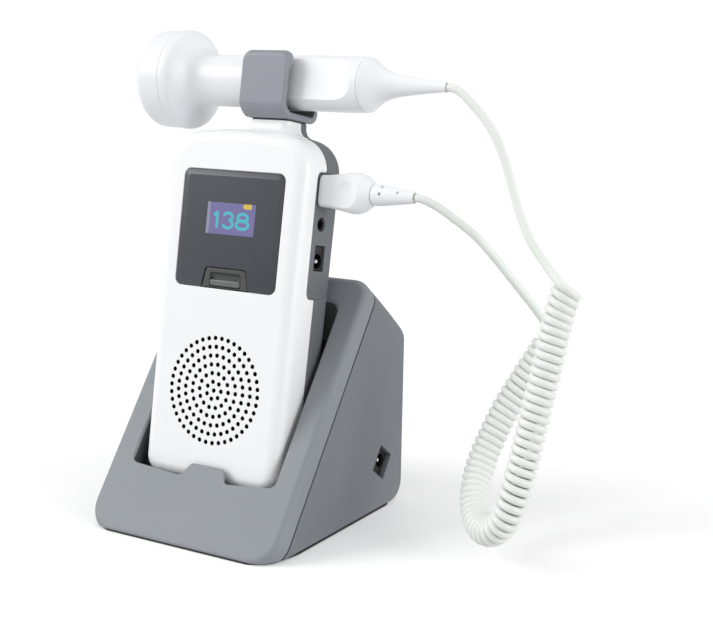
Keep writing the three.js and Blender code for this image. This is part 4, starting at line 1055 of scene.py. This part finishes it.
def dock_profile(i=0.0, lift=4.0, z0=0.8, n=12):
    """Side profile of the dock. The sloping front is drawn lift outside the real one."""
    front_line = lambda z: z / T - lift + (i / math.sin(SLOPE) if i else 0)
    d = np.array([BACK - RIDGE[0], BACK_TOP - RIDGE[1]])
    d /= np.linalg.norm(d)
    off = np.array([-d[1], d[0]]) * -i
    bx, bz = RIDGE[0] + off[0], RIDGE[1] + off[1]
    k = (bz - 0 - (bx - front_line(0)) * T) / (d[0] * T - d[1])
    ridge = (bx + d[0] * k, bz + d[1] * k)
    back = BACK - i
    top = bz + (back - bx) * d[1] / d[0]
    foot = [(back, z0, 8)] if not i else [(84.6, z0, 0), (84.6, 2 + i, 0), (back, 2 + i, 8 - i)]
    return outline([(front_line(z0), z0, 0), *foot, (back, top, 8 - i * 0.6), (*ridge, 0)], n)


def face_outline(i=0.0, n=16):
    return outline([(-HW + i, i, 12 - i), (HW - i, i, 12 - i), (HW - i, 116.6 - i, 8 - i), (-HW + i, 116.6 - i, 8 - i)], n)


def dock_block(name, n0, n1, r0, r1, steps=8):
    ob = raw(name, slab(face_outline(), n0, n1, r0, r1, steps), FACE)
    side = raw("t", slab(dock_profile(), -HW - 0.02, HW + 0.02, 1.3, 1.3, 6, "x"), DOCK)
    return boolean(ob, side, "INTERSECT")


bezel = dock_block("dock_front_bezel", -7.05, 0.0, 0.25, 2.8, 12)
boolean(bezel, raw("t", slab(face_outline(2.5), -30, -2.6), FACE))
tub = raw("tub", slab(rrect(-34.6, 8.45, 34.6, 150, 5.0, 8), -6, 32.9, 0, 0, 1, "y"), UNIT)
boolean(tub, raw("t", slab(face_outline(0.5), -95, -1.0), FACE), "INTERSECT")
boolean(tub, raw("t", slab(dock_profile(z0=2.0), -HW, HW, 0, 0, 1, "x"), DOCK), "INTERSECT")
boolean(bezel, tub, "UNION")
# the opening, drawn as it meets the sloping face (x, up the slope), then carried down the pocket
opening, _ = outline([(-32.6, 29.26, 3.0), (-8.9, 27.69, 2.0), (-6.0, 33.2, 2.6), (10.0, 33.2, 2.6), (11.6, 27.69, 2.0),
                      (32.6, 29.93, 3.0), (32.6, 105.95, 4.0), (-32.6, 105.95, 4.0)], 10)
opening = np.stack([opening[:, 0], 0.44591 * opening[:, 1] - 16.346], 1)
middle = np.array([0.0, 13.0])
rings = []
for s, inset in [(10.65, 3.0), (10.9, 1.8), (11.6, 0.8), (12.6, 0.2), (13.65, 0.0), (190, 0.0)]:
    q = opening + np.clip(middle - opening, -inset, inset)
    rings.append(np.array([(a, b, s) for a, b in q]))
boolean(bezel, raw("t", loft_mesh(rings)))
for x in (-8.0, 8.0):
    boolean(bezel, raw("t", slab(circle(x, 19.0, 1.45, 24), 5, 12, 0, 0, 1, "z"), UNIT))
tidy(bezel)


def on_face(p, q):
    """both points on the sloping face, inside its rim"""
    out = []
    for v in (p, q):
        w = np.linalg.inv(FACE) @ np.array([*(v / MM), 1.0])
        out.append(abs(w[2]) < 0.02 and abs(w[0]) < 38 and 15 < w[1] < 113)
    return all(out)


print("bevelled", bevel(bezel, on_face, 0.9, 4, 20))
tidy(bezel)
finish(bezel, [DOCKF, POCKET_SHADE], "dock", ["dock_bezel"], angle=38)
# painted shade: faces inside the pocket more than 1.1 mm below the sloping face take the near-black second slot,
# standing in for the shade in the pocket
for poly in bezel.data.polygons:
    x, d, z = in_frame(poly.center, UNIT)
    depth = in_frame(poly.center, FACE)[2]
    if abs(x) < 32.75 and -4.5 < d < 31.2 and z > 10.5 and depth < -1.1 and not (z < 13 and d < 0):
        poly.material_index = 1

# painted shade: a black strip set into the seam between bezel and housing, standing in for the shade inside the gap
seam = raw("dock_seam_shade_strip", slab(face_outline(0.3), -8.1, -6.9, 0, 0, 1), FACE)
boolean(seam, raw("t", slab(dock_profile(0.3), -HW + 0.3, HW - 0.3, 0, 0, 1, "x"), DOCK), "INTERSECT")
finish(seam, BLACK, "dock")

housing = dock_block("dock_rear_housing", -150.0, -7.85, 0, 0.25, 3)
inner = raw("t", slab(face_outline(2.3), -160, 2), FACE)
boolean(inner, raw("t", slab(dock_profile(2.3, 4.0, -5.0), -HW + 2.3, HW - 2.3, 0, 0, 1, "x"), DOCK), "INTERSECT")
boolean(housing, inner)
jack_hole = slab(rrect(-5.35, -5.0, 5.35, 5.0, 0.3, 3), 38, HW, 0, -0.35, 3, "x")
boolean(housing, raw("t", jack_hole, JACK))
tidy(housing)
finish(housing, DOCKS, "dock", ["dock_housing"], angle=38)

dj = raw("dock_power_socket", slab(rrect(-5.05, -4.7, 5.05, 4.7, 0.2, 3), 30, 41.0, 0, 0.12, 2, "x"), JACK)
boolean(dj, raw("t", slab(circle(0.9, -1.0, 2.75, 40), 33, 41.0, 0, -0.2, 3, "x"), JACK))
finish(dj, JACKMAT, "dock", ["dock_dc_jack"])
dp = raw("dock_power_pin", lathe([(33, 0), (33, 0.95), (39.6, 0.95), (40.1, 0.8), (40.35, 0.5), (40.4, 0)], 28, "x", (0, 0.9, -1.0)), JACK)
finish(dp, STEEL, "dock")

base = raw("dock_bottom_plate", slab(outline([(-32.5, 0.9, 5), (32.5, 0.9, 5), (39.4, 5.2, 8), (42.5, 18, 14),
    (42.5, 86.6, 2.5), (-42.5, 86.6, 2.5), (-42.5, 18, 14), (-39.4, 5.2, 8)], 10), 0.1, 0.77, 0.1, 0, 2), DOCK)
boolean(base, raw("t", slab(outline([(-33, 5.2, 4), (33, 5.2, 4), (40, 17.2, 10), (40, 84.2, 2), (-40, 84.2, 2), (-40, 17.2, 10)], 10), 0.6, 1.9), DOCK), "UNION")
for x, y in [(-33.5, 13), (33.5, 13), (-33.5, 78.5), (33.5, 78.5)]:
    boolean(base, raw("t", slab(circle(x, y, 5.3, 40), 0, 1.1), DOCK))
for x, y in [(-37.3, 24), (37.3, 24), (-37.3, 64), (37.3, 64)]:
    boolean(base, raw("t", slab(circle(x, y, 2.85, 32), 0, 1.5), DOCK))
for k in range(9):
    boolean(base, raw("t", slab(rrect(-12, 30 + 4 * k, 12, 31.4 + 4 * k, 0.65, 5), 0, 1.2), DOCK))
tidy(base)
finish(base, BLACK, "dock", ["dock_base_plate"])
for i, (x, y) in enumerate([(-33.5, 13), (33.5, 13), (-33.5, 78.5), (33.5, 78.5)]):
    foot = raw(f"rubber_foot_{i + 1}", slab(circle(x, y, 4.95, 48), 0, 0.8, 0.3, 0, 4), DOCK)
    finish(foot, RUBBER, "dock", [f"dock_foot_{i + 1}"])
for i, (x, y) in enumerate([(-37.3, 24), (37.3, 24), (-37.3, 64), (37.3, 64)]):
    finish(screw_head(f"base_screw_head_{i + 1}", x, y, 0.7, 2.5, DOCK, -1, "z"), STEEL, "dock", [f"dock_screw_{i + 1}"])

# ------------------------------------------------------------------ pieces that keep their solid
KEPT = {
    "battery_pack": CELL, "display_module": BLACK, "power_switch": BLACK, "main_pcb": BOARD, "speaker_frame": STEEL, "speaker_cone": CONE,
    "probe_socket": BLACK, "charge_pad_left": GOLD, "charge_pad_right": GOLD, "transducer_disc": CERAMIC, "transducer_backing": RUBBER,
    "probe_pcb": BOARD, "plug_contacts": STEEL, "dock_pcb": BOARD, "charge_contact_block": BLACK, "charge_pin_left": GOLD,
    "charge_pin_right": GOLD}
for name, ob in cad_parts.items():
    if ob.hide_render:
        continue
    ob.data.materials.clear()
    ob.data.materials.append(KEPT[name])

# ------------------------------------------------------------------ stage
floor = raw("floor", ([(-3000, -3000, 0), (3000, -3000, 0), (3000, 3000, 0), (-3000, 3000, 0)], [(0, 1, 2, 3)]), np.eye(4))
floor.data.materials.append(FLOOR)
floor.visible_diffuse = False
world = bpy.data.worlds.new("world")
scene.world = world
world.use_nodes = True
n, l = world.node_tree.nodes, world.node_tree.links
back = n["Background"]
where = n.new("ShaderNodeTexCoord")
split = n.new("ShaderNodeSeparateXYZ")
l.new(where.outputs["Generated"], split.inputs[0])
height = n.new("ShaderNodeMapRange")
height.inputs["From Min"].default_value = -1
l.new(split.outputs["Z"], height.inputs["Value"])
sky = n.new("ShaderNodeValToRGB")
sky.color_ramp.elements[0].position = 0.0
sky.color_ramp.elements[0].color = (0.74, 0.74, 0.745, 1)
sky.color_ramp.elements[1].position = 1.0
sky.color_ramp.elements[1].color = (0.76, 0.76, 0.76, 1)
middle_of = sky.color_ramp.elements.new(0.5)
middle_of.color = (0.62, 0.62, 0.625, 1)
l.new(height.outputs["Result"], sky.inputs["Fac"])
path = n.new("ShaderNodeLightPath")
mix = n.new("ShaderNodeMix")
mix.data_type = "RGBA"
l.new(path.outputs["Is Camera Ray"], mix.inputs["Factor"])
l.new(sky.outputs["Color"], mix.inputs[6])
mix.inputs[7].default_value = (1.05, 1.05, 1.05, 1)
l.new(mix.outputs[2], back.inputs["Color"])
back.inputs["Strength"].default_value = 1.0


def area(name, where, target, size, power, color=(1, 1, 1)):
    data = bpy.data.lights.new(name, "AREA")
    data.shape = "RECTANGLE"
    data.size, data.size_y = size
    data.energy = power
    data.color = color
    ob = bpy.data.objects.new(name, data)
    scene.collection.objects.link(ob)
    ob.location = where
    ob.rotation_euler = (Vector(target) - Vector(where)).to_track_quat("-Z", "Y").to_euler()
    return ob


sun_data = bpy.data.lights.new("sun", "SUN")
sun_data.energy = 1.72
sun_data.angle = math.radians(38)
sun = bpy.data.objects.new("sun", sun_data)
scene.collection.objects.link(sun)
sun.rotation_euler = Vector((0.98, 0.72, -0.66)).to_track_quat("-Z", "Y").to_euler()
area("fill", (1.4, 0.0, 0.4), (0, 0, 0.08), (1.0, 0.7), 9)
